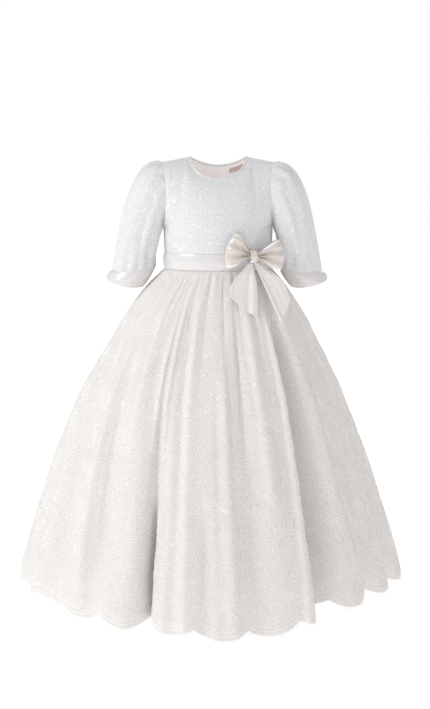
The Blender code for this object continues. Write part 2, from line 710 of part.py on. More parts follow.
def add_loop(name, side, yaw, tilt, middle_length, corner_length, half_height):
    """Ribbon loop: out from the knot on the front layer, round the end and back behind."""
    along, across, face = bow_axes(side, yaw, tilt)
    path, width = mesh_places(np.linspace(0.0, 1.0, 15), np.linspace(-1.0, 1.0, 8))
    length = middle_length - (middle_length - corner_length) * width ** 2
    reach = np.sin(math.pi * path) ** 0.9
    bulge = np.where(path < 0.5, 0.0135, 0.0060)
    swing = np.sin(2.0 * math.pi * path)
    swing = np.sign(swing) * np.abs(swing) ** 1.7
    crease = 0.0020 * (1.0 - reach) * np.cos(2.5 * math.pi * width) * np.sin(math.pi * path)
    depth = bulge * swing * (1.0 - 0.35 * width ** 2) + 0.0018 * (1.0 - 2.0 * path) + crease
    half = 0.0035 + (half_height - 0.0035) * smooth(0.0, 1.0, reach)
    out = LOOP_START + length * reach
    outer = (np.array(BOW_CENTRE) + out[..., None] * along + (width * half)[..., None] * across
             + depth[..., None] * face)
    core = np.array(BOW_CENTRE) + 0.5 * middle_length * along
    normal = grid_normals(outer, False, core)
    add_wall(name, outer, outer - THIN_WALL * normal, "satin")


for row in BOW_LOOPS:
    add_loop(*row)


def add_knot(name):
    """Strip wound round the middle of the bow: a short oval tube."""
    along, across, face = bow_axes(1.0, 18.0, 0.0)
    turn, place = mesh_places(np.linspace(0.0, 2.0 * math.pi, 20, endpoint=False), (-1.0, -0.5, 0.0, 0.5, 1.0))
    swell = 1.0 + 0.14 * np.cos(place * math.pi / 2.0)
    outer = (np.array(BOW_CENTRE) + (place * KNOT_HALF[0])[..., None] * along
             + (KNOT_HALF[1] * swell * np.cos(turn))[..., None] * across
             + (KNOT_HALF[2] * swell * np.sin(turn))[..., None] * face)
    core = np.array(BOW_CENTRE) + (place * KNOT_HALF[0])[..., None] * along
    normal = grid_normals(outer, True, core)
    flat = normal - np.sum(normal * along, axis=2, keepdims=True) * along
    flat /= np.linalg.norm(flat, axis=2, keepdims=True)
    add_wall(name, outer, outer - 0.0012 * flat, "satin", True)


add_knot("bow_knot")


def add_tail(name, left_edge, right_edge):
    """Ribbon end: between its two edges in the front view, sloping out to clear the skirt."""
    part, width = mesh_places(np.linspace(0.0, 1.0, 10), np.linspace(0.0, 1.0, 6))
    left = np.array(left_edge)
    right = np.array(right_edge)
    knots = np.array([0.0, 0.45, 1.0])
    edges = []
    for edge in (left, right):
        edges.append(np.stack([curve(knots, edge[:, 0], part), curve(knots, edge[:, 1], part)], axis=-1))
    flat = edges[0] * (1.0 - width[..., None]) + edges[1] * width[..., None]
    x = flat[..., 0]
    z = flat[..., 1]
    plane = BOW_CENTRE[1] - TAIL_SLOPE * (-0.2290 - z) + TAIL_TURN * (x - BOW_CENTRE[0])
    half_width, half_depth, centre = skirt_section(np.minimum(z, SKIRT_TOP))
    inside = np.clip(1.0 - ((x - centre) / (half_width + TAIL_CLEAR)) ** 2, 0.0, 1.0)
    clear = -(half_depth + TAIL_CLEAR) * np.sqrt(inside)
    ripple = 0.0030 * part * np.sin(math.pi * (1.6 * width + 0.2))
    y = np.minimum(plane, clear) - ripple
    outer = np.stack([x, y, z], axis=-1)
    normal = grid_normals(outer, False, outer * np.array([1.0, 0.0, 1.0]))
    add_wall(name, outer, outer - THIN_WALL * normal, "satin")


for row in BOW_TAILS:
    add_tail(*row)
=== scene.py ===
"""Girl's lace dress with puff sleeves, a full scalloped skirt and a satin bow.

Metres, +Z up, the front faces -Y, +X is the viewer's right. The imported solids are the
frame; every cloth piece here is a finer wall on the same form, with creases, lace and seams.
"""
import math

import bpy
import numpy as np
from bpy.props import FloatProperty, FloatVectorProperty, IntProperty, PointerProperty
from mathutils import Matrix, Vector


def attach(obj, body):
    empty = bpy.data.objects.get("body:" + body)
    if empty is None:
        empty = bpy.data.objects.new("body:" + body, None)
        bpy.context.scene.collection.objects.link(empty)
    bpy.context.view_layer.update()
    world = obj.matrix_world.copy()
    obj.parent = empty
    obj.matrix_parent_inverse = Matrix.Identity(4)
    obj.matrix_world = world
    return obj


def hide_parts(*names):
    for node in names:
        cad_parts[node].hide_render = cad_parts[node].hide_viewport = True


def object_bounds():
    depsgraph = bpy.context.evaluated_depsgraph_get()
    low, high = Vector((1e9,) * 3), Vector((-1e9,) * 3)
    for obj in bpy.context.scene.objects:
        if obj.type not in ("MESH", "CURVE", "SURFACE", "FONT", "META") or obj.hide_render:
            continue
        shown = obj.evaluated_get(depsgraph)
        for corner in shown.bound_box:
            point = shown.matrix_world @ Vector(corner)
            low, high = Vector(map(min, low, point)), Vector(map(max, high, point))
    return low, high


bl_info = {
    "name": "Lace Dress with Puff Sleeves",
    "version": (1, 0, 0),
    "blender": (4, 5, 0),
    "location": "View3D > Sidebar > Dress",
    "description": "Builds a girl's lace dress with a satin bow, and a pale studio for it",
    "category": "Add Mesh",
}

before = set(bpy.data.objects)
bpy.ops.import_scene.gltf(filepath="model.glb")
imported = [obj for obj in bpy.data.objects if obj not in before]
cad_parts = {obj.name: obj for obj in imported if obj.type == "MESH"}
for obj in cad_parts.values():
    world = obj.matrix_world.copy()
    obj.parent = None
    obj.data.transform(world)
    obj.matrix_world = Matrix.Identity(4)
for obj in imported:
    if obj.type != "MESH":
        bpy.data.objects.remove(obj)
CAD_LOW, CAD_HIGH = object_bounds()

HALF_SEAM = 0.00015
LACE_WALL = 0.0011
SATIN_WALL = 0.0012
THIN_WALL = 0.0007
RIBBON_WALL = 0.0006
QUARTER = math.pi / 2.0
TURN = 2.0 * math.pi

# Bodice
WAIST_Z = -0.2090
WAIST_HALF_WIDTH = 0.1175
WAIST_HALF_DEPTH = 0.0915
NECK_HALF_WIDTH = 0.064
NECK_FRONT_DEPTH = 0.055
NECK_FRONT_DROP = 0.0485
NECK_FRONT_POWER = 1.2
NECK_BACK_DEPTH = 0.045
NECK_BACK_DROP = 0.0190
NECK_BACK_POWER = 2.0
# direction of the cloth at the neck edge: outward and down at the centre, down at the shoulder
NECK_SLOPE = 0.62
NECK_DROP = 0.78
SHOULDER_DROP = 0.20
SHOULDER_HALF_WIDTH = 0.1205
ARMHOLE_Z = -0.0805
ARMHOLE_HALF_HEIGHT = 0.0695
ARMHOLE_HALF_DEPTH = 0.046
ARMHOLE_INSET = 0.007
NECK_SHARE = 0.55
SIDE_SHARE = 0.30
# columns: out from the waist line and up from it, then out and down from the neck edge
FRONT_MIDDLE = (0.011, 0.055, 0.036, 0.040)
BACK_MIDDLE = (0.006, 0.060, 0.036, 0.050)
BINDING_HALF_WIDTH = 0.0026
BINDING_HALF_THICKNESS = 0.0012
BINDING_STEP = 0.0032
# a point inside the bodice, to tell its outer face from its inner one
BODICE_CORE = np.array([0.0, 0.0, -0.12])
LINING_IN = 0.0021
LINING_LEAN = 0.0008
LINING_CLEAR = 0.0009
LABEL_CLEAR = 0.0012
# first and last place of the label across the back panel and up it
LABEL_ACROSS = (0.1375, 0.3575)
LABEL_UP = (0.9067, 0.9728)

# Waistband
BAND_TOP = -0.2093
BAND_BOTTOM = -0.2442
BAND_HALF_WIDTH = 0.1187
BAND_HALF_DEPTH = 0.0927
BAND_SWELL = 0.0026

# Sleeves and cuffs, for the viewer's right; the other side is mirrored
CUFF_TOP_CENTRE = (0.1805, 0.002, -0.2450)
CUFF_TOP_HALF = (0.0480, 0.0450)
CUFF_TOP_TILT = (-0.003, -0.005)
CUFF_LOW_CENTRE = (0.1990, 0.003, -0.2730)
CUFF_LOW_HALF = (0.0425, 0.0455)
CUFF_LOW_TILT = (0.008, -0.010)
LEFT_SPREAD = 0.005
SLEEVE_PLEATS = 12.0
HEAD_PLEAT = 0.0022
CUFF_GATHER = 0.0014
SLEEVE_SWELL = 0.0020
CUFF_SWELL = 0.0020
CUFF_DENT = 0.0007

# Skirt
SKIRT_TOP = -0.2445
SKIRT_HEM = -0.942
SKIRT_LENGTH = SKIRT_TOP - SKIRT_HEM
# columns: height, half width, half depth, centre x
SKIRT_SECTIONS = (
    (-0.2445, 0.1187, 0.0927, 0.000),
    (-0.262, 0.131, 0.106, -0.001),
    (-0.293, 0.156, 0.131, -0.004),
    (-0.337, 0.188, 0.163, -0.006),
    (-0.403, 0.227, 0.202, -0.009),
    (-0.491, 0.275, 0.250, -0.012),
    (-0.579, 0.312, 0.287, -0.0135),
    (-0.667, 0.345, 0.319, -0.014),
    (-0.755, 0.373, 0.347, -0.014),
    (-0.843, 0.400, 0.371, -0.014),
    (-0.975, 0.430, 0.396, -0.014),
)
# columns: angle at the waist, angle at the hem, depth at the hem, half width in degrees
FOLDS = (
    (-172.0, -170.0, 0.020, 5.0),
    (-152.0, -154.0, 0.028, 5.5),
    (-133.0, -131.0, 0.018, 5.0),
    (-115.0, -112.0, 0.026, 6.0),
    (-99.0, -101.0, 0.014, 4.6),
    (-76.0, -73.0, 0.016, 4.6),
    (-58.0, -56.0, 0.022, 5.0),
    (-43.0, -36.0, 0.020, 4.0),
    (-28.0, -19.0, 0.036, 4.2),
    (-10.0, -11.0, 0.010, 2.6),
    (12.0, 14.0, 0.015, 5.0),
    (40.0, 36.0, 0.036, 5.0),
    (57.0, 54.0, 0.018, 4.6),
    (75.0, 70.0, 0.018, 4.4),
    (96.0, 100.0, 0.012, 4.6),
    (109.0, 112.0, 0.026, 5.5),
    (128.0, 130.0, 0.018, 5.0),
    (147.0, 149.0, 0.030, 5.5),
    (166.0, 167.0, 0.018, 5.0),
)
# Finer creases laid over the folds; a negative depth is a ridge.
# columns: angle at the top, angle at the bottom, first and last share of the fall,
# depth, half width in degrees, lean: the gentle side is on the left (below 0) or on the right (above 0)
CREASES = (
    (-58.0, -56.0, 0.03, 0.50, -0.0060, 2.4, -0.5),
    (-50.0, -40.0, 0.15, 1.00, -0.0110, 3.0, -0.4),
    (-42.0, -36.0, 0.08, 1.30, -0.0120, 4.2, 0.0),
    (-45.5, -34.0, 0.20, 0.85, 0.0045, 1.6, 0.4),
    (-35.0, -27.0, 0.03, 0.60, -0.0070, 2.4, 0.5),
    (-24.8, -20.8, 0.10, 1.25, -0.0120, 2.6, -0.5),
    (-23.5, -19.4, 0.03, 1.40, 0.0085, 1.4, 0.5),
    (-23.5, -19.4, 0.60, 1.80, 0.0320, 0.95, 0.0),
    (-20.8, -16.9, 0.03, 1.30, -0.0090, 1.8, -0.4),
    (-14.5, -11.0, 0.03, 0.55, 0.0055, 1.8, -0.3),
    (-11.0, -7.2, 0.03, 1.20, -0.0080, 2.1, 0.3),
    (-2.5, -1.0, 0.60, 1.50, 0.0060, 2.4, 0.3),
    (1.2, 3.6, 0.25, 1.25, 0.0030, 1.8, 0.3),
    (4.2, 6.6, 0.15, 1.15, -0.0060, 2.2, -0.5),
    (12.0, 13.0, 0.05, 0.60, 0.0060, 1.4, 0.5),
    (20.0, 21.0, 0.05, 0.80, -0.0060, 2.4, 0.3),
    (33.5, 28.0, 0.03, 1.30, -0.0105, 2.2, 0.4),
    (40.5, 35.5, 0.06, 1.25, 0.0260, 3.0, -0.3),
    (46.0, 46.0, 0.08, 0.95, -0.0070, 2.4, -0.5),
    (52.0, 50.0, 0.20, 0.90, 0.0060, 1.4, -0.5),
    (62.0, 61.0, 0.12, 1.00, 0.0060, 2.0, 0.5),
    (-66.0, -63.0, 0.12, 0.90, -0.0070, 2.2, 0.5),
    (-71.0, -69.0, 0.20, 0.85, 0.0060, 1.4, -0.5),
    (-84.0, -86.0, 0.10, 0.90, 0.0055, 2.0, -0.5),
    (-92.0, -93.0, 0.25, 1.20, -0.0070, 2.2, 0.4),
    (-107.0, -105.0, 0.05, 0.80, 0.0070, 1.5, 0.5),
    (-119.0, -116.0, 0.40, 1.50, 0.0150, 1.4, 0.3),
    (-124.0, -121.0, 0.06, 1.20, -0.0090, 2.0, -0.5),
    (-141.0, -143.0, 0.03, 0.95, -0.0080, 2.2, 0.5),
    (-147.0, -147.0, 0.15, 1.20, 0.0100, 1.4, -0.5),
    (-163.0, -162.0, 0.03, 0.90, -0.0080, 2.2, 0.3),
    (178.0, 177.0, 0.10, 1.20, -0.0070, 2.2, 0.5),
    (158.0, 157.0, 0.03, 1.10, -0.0090, 2.0, -0.5),
    (152.0, 152.0, 0.35, 1.40, 0.0140, 1.4, -0.3),
    (139.0, 141.0, 0.06, 0.90, -0.0070, 2.2, 0.4),
    (134.0, 136.0, 0.20, 1.20, 0.0090, 1.4, 0.5),
    (119.0, 121.0, 0.03, 1.05, -0.0080, 2.1, -0.5),
    (103.0, 105.0, 0.10, 1.20, -0.0070, 1.9, 0.5),
    (97.0, 99.0, 0.20, 1.00, 0.0070, 1.4, 0.5),
    (84.0, 84.0, 0.08, 0.95, 0.0060, 1.8, -0.5),
)
# columns: angle, rise of the hem above its front level
HEM_RISE = (
    (-180.0, 0.006),
    (-120.0, 0.016),
    (-75.0, 0.021),
    (-50.0, 0.018),
    (-30.0, 0.010),
    (-8.0, 0.002),
    (10.0, -0.006),
    (21.0, 0.002),
    (33.0, 0.019),
    (60.0, 0.034),
    (90.0, 0.030),
    (130.0, 0.018),
    (180.0, 0.006),
)
GATHERS = 36
SCALLOPS = 24
SCALLOP_DEPTH = 0.018
SHALLOW_AT = math.radians(72.0)
SHALLOW_HALF = math.radians(16.0)
SHALLOW_BY = 0.65
SCALLOP_PHASE = 0.30
SCALLOP_PARTS = 34
GATHER_TOP = 0.0010
GATHER_FULL = 0.0058
FINE_GATHERS = 61
FINE_GATHER_HEIGHT = 0.0010
UNDERSKIRT_SHORTER = 0.068
# space between the lace and the underskirt at the seam and below it, and the share of a fold it follows
UNDERSKIRT_IN_TOP = 0.0036
UNDERSKIRT_IN_BELOW = 0.0264
UNDERSKIRT_FOLD_SHARE = 0.6
UNDERSKIRT_HEM_TURN = 0.0005
# the lace ends this far short of the solid's edge, and the loose cord ends fill the rest
LASH_REACH = 0.0065
# the skirt seam turns under the waistband by this much
SEAM_TUCK = 0.0014
SEAM_SHARE = 0.012

# Lace on the skirt
# columns: share of the way down, flowers round, angle of the first in degrees, share of full size
FLOWER_ROWS = (
    (0.165, 9, 3.0, 0.62),
    (0.275, 12, -14.0, 0.70),
    (0.385, 13, 2.0, 0.80),
    (0.495, 16, 12.0, 0.88),
    (0.605, 17, 1.0, 0.94),
    (0.715, 20, 10.0, 1.00),
    (0.825, 22, 3.0, 1.00),
)
# columns: radius at full size, lobes, depth of the lobes as a share, turn as a share of a lobe
FLOWER_RINGS = (
    (0.0036, 5, 0.05, 0.0),
    (0.0098, 6, 0.50, 0.0),
    (0.0165, 6, 0.36, 0.5),
    (0.0235, 8, 0.24, 0.0),
    (0.0285, 9, 0.12, 0.5),
    (0.0360, 11, 0.14, 0.0),
)
FLOWER_POINTS = 41
# how far a flower or a spray may stand off its place: turn round the skirt, shares of the fall
ANGLE_OFF = 0.02
FLOWER_FALL_OFF = 0.010
SPRAY_FALL_OFF = 0.012
HEM_FLOWERS_AT = 0.932
HEM_FLOWER_SIZE = 0.98
RIB_FROM = 0.0240
RIB_TO = 0.0282
RIBS = 16
PETAL_RIB_FROM = 0.0040
PETAL_RIB_TO = 0.0150
PETAL_RIBS = 12
CORD_SINK = 0.0001
SPRAY_HALF_LENGTH = 0.046
SPRAY_SWAY = 0.0055
SPRAY_LEAVES = 6
LEAF_LENGTH = 0.0150
LEAF_HALF_WIDTH = 0.0036
SEED = 41

# Bow
BOW_CENTRE = np.array((0.0747, -0.0845, -0.2140))
KNOT_HALF = (0.0072, 0.0125, 0.0088)
# columns: name, side, yaw, tilt up, length at the middle, length at the corners, half height
BOW_LOOPS = (
    ("bow_loop_left", -1.0, 25.0, 15.5, 0.0650, 0.0530, 0.0370),
    ("bow_loop_right", 1.0, 10.0, 2.5, 0.0690, 0.0575, 0.0335),
)
# columns: name, then (x, z) of the root, the middle and the end for the left and the right edge
BOW_TAILS = (
    ("bow_tail_left",
     ((0.0640, -0.2290), (0.0284, -0.2692), (0.0265, -0.2966)),
     ((0.0735, -0.2290), (0.0824, -0.2721), (0.0819, -0.3411))),
    ("bow_tail_right",
     ((0.0765, -0.2284), (0.1073, -0.2985), (0.1325, -0.3526)),
     ((0.0865, -0.2284), (0.1350, -0.2625), (0.1544, -0.3056))),
)
KNOT_YAW = 18.0
KNOT_SWELL = 0.14
KNOT_WALL = 0.0008
LOOP_START = 0.0009
LOOP_BULGE_FRONT = 0.0135
LOOP_BULGE_BACK = 0.0060
LOOP_CREASE = 0.0056
LOOP_ROOT_HALF = 0.0035
LOOP_APART = 0.0018
LOOP_EDGE_LIFT = 0.0016
TAIL_TOP = -0.2290
TAIL_SLOPE = 0.70
TAIL_TURN = 0.42
TAIL_CLEAR = 0.009
TAIL_RIPPLE = 0.0018

# Finishes
# sizes of the drawn patterns in metres: cord curls, twist ticks, spacing of the threads
BODICE_CURL = 0.0110
SKIRT_CURL = 0.0210
TWIST_TICK = 0.0016
LINING_THREAD = 0.0012
TAFFETA_THREAD = 0.0014
LABEL_THREAD = 0.0008
# half the soft edge of a drawn cord, and how much slower a thread changes along itself than across
CORD_EDGE = 0.12
THREAD_RUN = 0.12
# streaks of the satins, in roughness and as painted sheen in the colour: how many in each metre along x, y
# and z
BAND_STREAKS = (9.0, 9.0, 420.0)
CUFF_STREAKS = (12.0, 12.0, 380.0)
BOW_STREAKS = (60.0, 60.0, 60.0)
BINDING_STREAKS = (90.0, 90.0, 90.0)

# Stage
FLOOR_DROP = 0.075
FLOOR_RADIUS = 14.0
# the floor's painted glow is that of its setting up to the first distance and full white from the second, so
# the floor near the dress is darker
GLOW_FROM = 0.6
GLOW_REACH = 3.5
SKY_COLOUR = (1.0, 0.968, 0.955, 1.0)
WHITE = (1.0, 1.0, 1.0, 1.0)
# columns: setting that holds the power, place, point aimed at, size, colour
LIGHTS = (
    ("key", (-2.78, -1.60, 1.60), (0.0, 0.0, -0.42), 1.4, (0.955, 0.985, 1.0)),
    ("back", (1.4, 3.0, 1.7), (0.0, 0.0, -0.50), 2.2, (1.0, 0.985, 0.97)),
)
LENS_MM = 73.83
SENSOR_MM = 36.0
LENS_SHIFT = -0.2659
CAMERA_SIDE = -0.0066
CAMERA_LEVEL = -0.02
VIEW_END = 60.0


def linear(code):
    """Linear red, green, blue and alpha of an sRGB hex colour."""
    parts = [int(code[place:place + 2], 16) / 255.0 for place in (0, 2, 4)]
    return tuple(part / 12.92 if part <= 0.04045 else ((part + 0.055) / 1.055) ** 2.4
                 for part in parts) + (1.0,)


# Small sums and grids


def smooth(low, high, value):
    """Soft step from 0 at low to 1 at high."""
    part = np.clip((np.asarray(value, float) - low) / (high - low), 0.0, 1.0)
    return part * part * (3.0 - 2.0 * part)


def curve(place, value, at):
    """Smooth line through the given rows: cubic pieces with the mean slope at each row."""
    place = np.asarray(place, float)
    value = np.asarray(value, float)
    slope = np.gradient(value, place)
    index = np.clip(np.searchsorted(place, at) - 1, 0, len(place) - 2)
    step = place[index + 1] - place[index]
    part = np.clip((at - place[index]) / step, 0.0, 1.0)
    square = part * part
    cube = square * part
    return (value[index] * (2.0 * cube - 3.0 * square + 1.0)
            + step * slope[index] * (cube - 2.0 * square + part)
            + value[index + 1] * (3.0 * square - 2.0 * cube)
            + step * slope[index + 1] * (cube - square))


def bezier(first, second, third, last, part):
    """Cubic Bezier from first to last; part has one more axis for the coordinates."""
    rest = 1.0 - part
    return (rest ** 3 * first + 3.0 * rest * rest * part * second
            + 3.0 * rest * part * part * third + part ** 3 * last)


def bell(away, half, lean=0.0):
    """Bump of height 1: e to the power of minus the square of away over half; lean makes one side steeper."""
    side = half * (1.0 + lean * np.tanh(away / half))
    return np.exp(-(away / side) ** 2)


def around(angle):
    """The same angle between minus half a turn and half a turn."""
    return (angle + math.pi) % TURN - math.pi


def sum_of_creases(rows, angle, fall, fade_in, fade_out):
    """Depth of creases that run down the cloth: bells across, each fading in and out along its own run.

    Each row holds its angle at the top and at the bottom, first and last share of the fall, depth,
    half width as an angle and lean.
    """
    total = 0.0 * angle
    for at_top, at_bottom, first, last, depth, half, lean in rows:
        away = around(angle - (at_top + (at_bottom - at_top) * np.clip(fall, 0.0, 1.0)))
        length = smooth(first, first + fade_in, fall) * (1.0 - smooth(last - fade_out, last, fall))
        total = total + depth * bell(away, half, lean) * length
    return total


def unit(vectors):
    """Vectors at length 1."""
    return vectors / np.maximum(np.linalg.norm(vectors, axis=-1, keepdims=True), 1e-12)


def grid_normals(grid, ring, centre):
    """Unit normals of a grid of points, turned away from the centre."""
    if ring:
        across = np.roll(grid, -1, axis=1) - np.roll(grid, 1, axis=1)
    else:
        across = np.gradient(grid, axis=1)
    normal = unit(np.cross(across, np.gradient(grid, axis=0)))
    if np.sum(normal * (grid - centre)) < 0.0:
        normal = -normal
    return normal


def places(columns, rows):
    """Two arrays over a grid: columns across, rows along."""
    return np.meshgrid(np.asarray(columns, float), np.asarray(rows, float))


def quads(first, second, third, fourth):
    """Four arrays of point numbers as rows of four corners."""
    return np.stack([first, second, third, fourth], axis=-1).reshape(-1, 4)


def grid_numbers(shape, ring=False, tube=False):
    """Point numbers of a grid, with the first column or row met again at the end where it closes."""
    numbers = np.arange(shape[0] * shape[1]).reshape(shape)
    if ring:
        numbers = np.concatenate([numbers, numbers[:, :1]], axis=1)
    if tube:
        numbers = np.concatenate([numbers, numbers[:1]], axis=0)
    return numbers


def add_piece(name, points, faces, finishes, numbers=None, sharp=50.0):
    """New object from an array of points and a list of faces; numbers picks each face's finish."""
    mesh = bpy.data.meshes.new(name)
    mesh.from_pydata(points.reshape(-1, 3).tolist(), [], faces)
    mesh.shade_smooth()
    mesh.set_sharp_from_angle(angle=math.radians(sharp))
    for finish in finishes:
        mesh.materials.append(finish)
    if numbers is not None:
        mesh.polygons.foreach_set("material_index", numbers.astype(np.int32))
    piece = bpy.data.objects.new(name, mesh)
    bpy.context.scene.collection.objects.link(piece)
    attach(piece, "root")
    return piece


def add_wall(name, outer, inner, finish, inside=None, ring=False, marks=None):
    """Closed wall: an outer grid, an inner grid and rims; the inner face may have a finish of its own.

    marks is True for each outer face that takes the inner finish too.
    """
    out = grid_numbers(outer.shape[:2], ring)
    into = out + outer[..., 0].size
    parts = [
        quads(out[:-1, :-1], out[:-1, 1:], out[1:, 1:], out[1:, :-1]),
        quads(into[:-1, :-1], into[1:, :-1], into[1:, 1:], into[:-1, 1:]),
        quads(out[0, 1:], out[0, :-1], into[0, :-1], into[0, 1:]),
        quads(out[-1, :-1], out[-1, 1:], into[-1, 1:], into[-1, :-1]),
    ]
    if not ring:
        parts.append(quads(out[:-1, 0], out[1:, 0], into[1:, 0], into[:-1, 0]))
        parts.append(quads(out[1:, -1], out[:-1, -1], into[:-1, -1], into[1:, -1]))
    faces = np.concatenate(parts)
    facing = np.cross(outer[:-1, 1:] - outer[:-1, :-1], outer[1:, :-1] - outer[:-1, :-1])
    if np.sum(facing * (outer - inner)[:-1, :-1]) < 0.0:
        faces = faces[:, ::-1]
    numbers = np.zeros(len(faces))
    numbers[len(parts[0]):len(parts[0]) + len(parts[1])] = 0 if inside is None else 1
    if marks is not None:
        numbers[:len(parts[0])] = marks.reshape(-1)
    finishes = [finish] if inside is None else [finish, inside]
    points = np.concatenate([outer.reshape(-1, 3), inner.reshape(-1, 3)])
    return add_piece(name, points, faces.tolist(), finishes, numbers)


# Shapes shared with the solids


def neck_line(angle, back):
    """Neck edge: angle 0 is the centre, a quarter turn is the neck point at the shoulder."""
    side = np.sin(angle)
    middle = np.abs(np.cos(angle))
    if back:
        return np.stack([NECK_HALF_WIDTH * side, NECK_BACK_DEPTH * middle,
                         -NECK_BACK_DROP * middle ** NECK_BACK_POWER], axis=-1)
    return np.stack([NECK_HALF_WIDTH * side, -NECK_FRONT_DEPTH * middle,
                     -NECK_FRONT_DROP * middle ** NECK_FRONT_POWER], axis=-1)


def neck_fall(angle, back):
    """Unit direction down the cloth at the neck edge."""
    side = np.sin(angle)
    middle = np.abs(np.cos(angle))
    forward = NECK_SLOPE if back else -NECK_SLOPE
    drop = -SHOULDER_DROP * np.abs(side) - NECK_DROP * middle
    return unit(np.stack([side, forward * middle, drop], axis=-1))


def armhole(turn, back):
    """Armhole seam at the viewer's right: turn 0 is the shoulder, half a turn the underarm."""
    forward = 1.0 if back else -1.0
    return np.stack([SHOULDER_HALF_WIDTH - ARMHOLE_INSET * np.sin(turn) ** 2,
                     forward * ARMHOLE_HALF_DEPTH * np.sin(turn),
                     ARMHOLE_Z + ARMHOLE_HALF_HEIGHT * np.cos(turn)], axis=-1)


def bodice_top(place, back):
    """Top edge of a bodice panel from the centre: the neck edge, then the shoulder seam."""
    neck_angle = np.clip(place / NECK_SHARE, 0.0, 1.0) * QUARTER
    neck = neck_line(neck_angle, back) + BINDING_STEP * neck_fall(neck_angle, back)
    quarter = np.float64(QUARTER)
    neck_end = neck_line(quarter, back) + BINDING_STEP * neck_fall(quarter, back)
    along = np.clip((place - NECK_SHARE) / (1.0 - NECK_SHARE), 0.0, 1.0)[..., None]
    shoulder = neck_end * (1.0 - along) + armhole(np.float64(0.0), back) * along
    return np.where((place < NECK_SHARE)[..., None], neck, shoulder)


def bodice_side(rise, back):
    """Side edge of a bodice panel: the side seam up to the underarm, then the armhole."""
    seam = np.clip(rise / SIDE_SHARE, 0.0, 1.0)[..., None]
    foot = np.array([WAIST_HALF_WIDTH, 0.0, WAIST_Z])
    underarm = armhole(np.float64(math.pi), back)
    turn = math.pi * (1.0 - np.clip((rise - SIDE_SHARE) / (1.0 - SIDE_SHARE), 0.0, 1.0))
    return np.where((rise < SIDE_SHARE)[..., None], foot * (1.0 - seam) + underarm * seam,
                    armhole(turn, back))


def bodice_middle(rise, back):
    """Centre line of a bodice panel from the waist to the neck."""
    forward = 1.0 if back else -1.0
    out, up, neck_out, neck_down = BACK_MIDDLE if back else FRONT_MIDDLE
    foot = np.array([0.0, forward * WAIST_HALF_DEPTH, WAIST_Z])
    top = bodice_top(np.float64(0.0), back)
    return bezier(foot, foot + np.array([0.0, forward * out, up]),
                  top + np.array([0.0, forward * neck_out, -neck_down]), top, rise[..., None])


def bodice_row(place, rise, back):
    """Quarter oval from the centre line to the side edge."""
    middle = bodice_middle(rise, back)
    side = bodice_side(rise, back)
    angle = place * QUARTER
    return np.stack([side[..., 0] * np.sin(angle),
                     side[..., 1] + (middle[..., 1] - side[..., 1]) * np.cos(angle),
                     middle[..., 2] + (side[..., 2] - middle[..., 2]) * smooth(0.0, 1.0, place)], axis=-1)


def bodice(place, rise, back):
    """Bodice surface: place -1..1 from side to side, rise 0 at the waist and 1 at the top edge."""
    away = np.abs(place)
    full = np.ones_like(rise)
    change = bodice_top(away, back) - bodice_row(away, full, back)
    face = bodice_row(away, rise, back) + change * (rise ** 3)[..., None]
    face[..., 0] *= np.where(place < 0.0, -1.0, 1.0)
    return face


def bodice_panel(across, rises, back):
    """Places, points and outward normals over a part of the bodice."""
    place, rise = places(across, rises)
    face = bodice(place, rise, back)
    return place, rise, face, grid_normals(face, False, BODICE_CORE)


# columns: place and rise of the start, place and rise of the end, height, half width
BODICE_CREASES = (
    (0.93, 0.42, 0.60, 0.20, -0.0016, 0.050),
    (0.90, 0.34, 0.66, 0.08, 0.0013, 0.040),
    (-0.93, 0.44, -0.64, 0.26, -0.0013, 0.050),
    (-0.90, 0.32, -0.70, 0.05, 0.0011, 0.040),
    (0.86, 0.95, 0.66, 0.62, -0.0010, 0.060),
    (-0.86, 0.95, -0.66, 0.64, -0.0010, 0.060),
    (0.30, 0.02, 0.20, 0.26, 0.0008, 0.050),
    (-0.34, 0.02, -0.26, 0.22, 0.0008, 0.050),
)


def bodice_creases(place, rise):
    """Height of the soft creases from the armholes and the waist: a bell round each straight line."""
    total = 0.0 * place
    for place_a, rise_a, place_b, rise_b, height, half in BODICE_CREASES:
        run = np.array([place_b - place_a, rise_b - rise_a])
        share = ((place - place_a) * run[0] + (rise - rise_a) * run[1]) / np.sum(run * run)
        away = ((place - place_a) * run[1] - (rise - rise_a) * run[0]) / np.linalg.norm(run)
        total = total + height * bell(away, half) * np.sin(math.pi * np.clip(share, 0.0, 1.0)) ** 2
    edge = smooth(0.0, 0.06, rise) * smooth(0.0, 0.05, 1.0 - np.abs(place)) * smooth(0.0, 0.05, 1.0 - rise)
    return total * edge


def keep_side(points, axis, sign, middle=0.0):
    """Hold the points on one side of a seam plane, half a seam away from it."""
    away = (points[..., axis] - middle) * sign
    points[..., axis] = middle + sign * np.maximum(away, HALF_SEAM)
    return points


def cuff_ring(turn, centre, half, tilt, spread):
    """Ring of a cuff: turn 0 is the outer side, a quarter turn the front."""
    out = np.cos(turn)
    front = np.sin(turn)
    return np.stack([centre[0] + spread + half[0] * out, centre[1] - half[1] * front,
                     centre[2] + tilt[0] * out + tilt[1] * front], axis=-1)


def armhole_ring(turn):
    """Whole armhole seam: the front half for the first half turn, then the back half."""
    front = armhole(turn, False)
    back = armhole(TURN - turn, True)
    return np.where((np.asarray(turn) % TURN <= math.pi)[..., None], front, back)


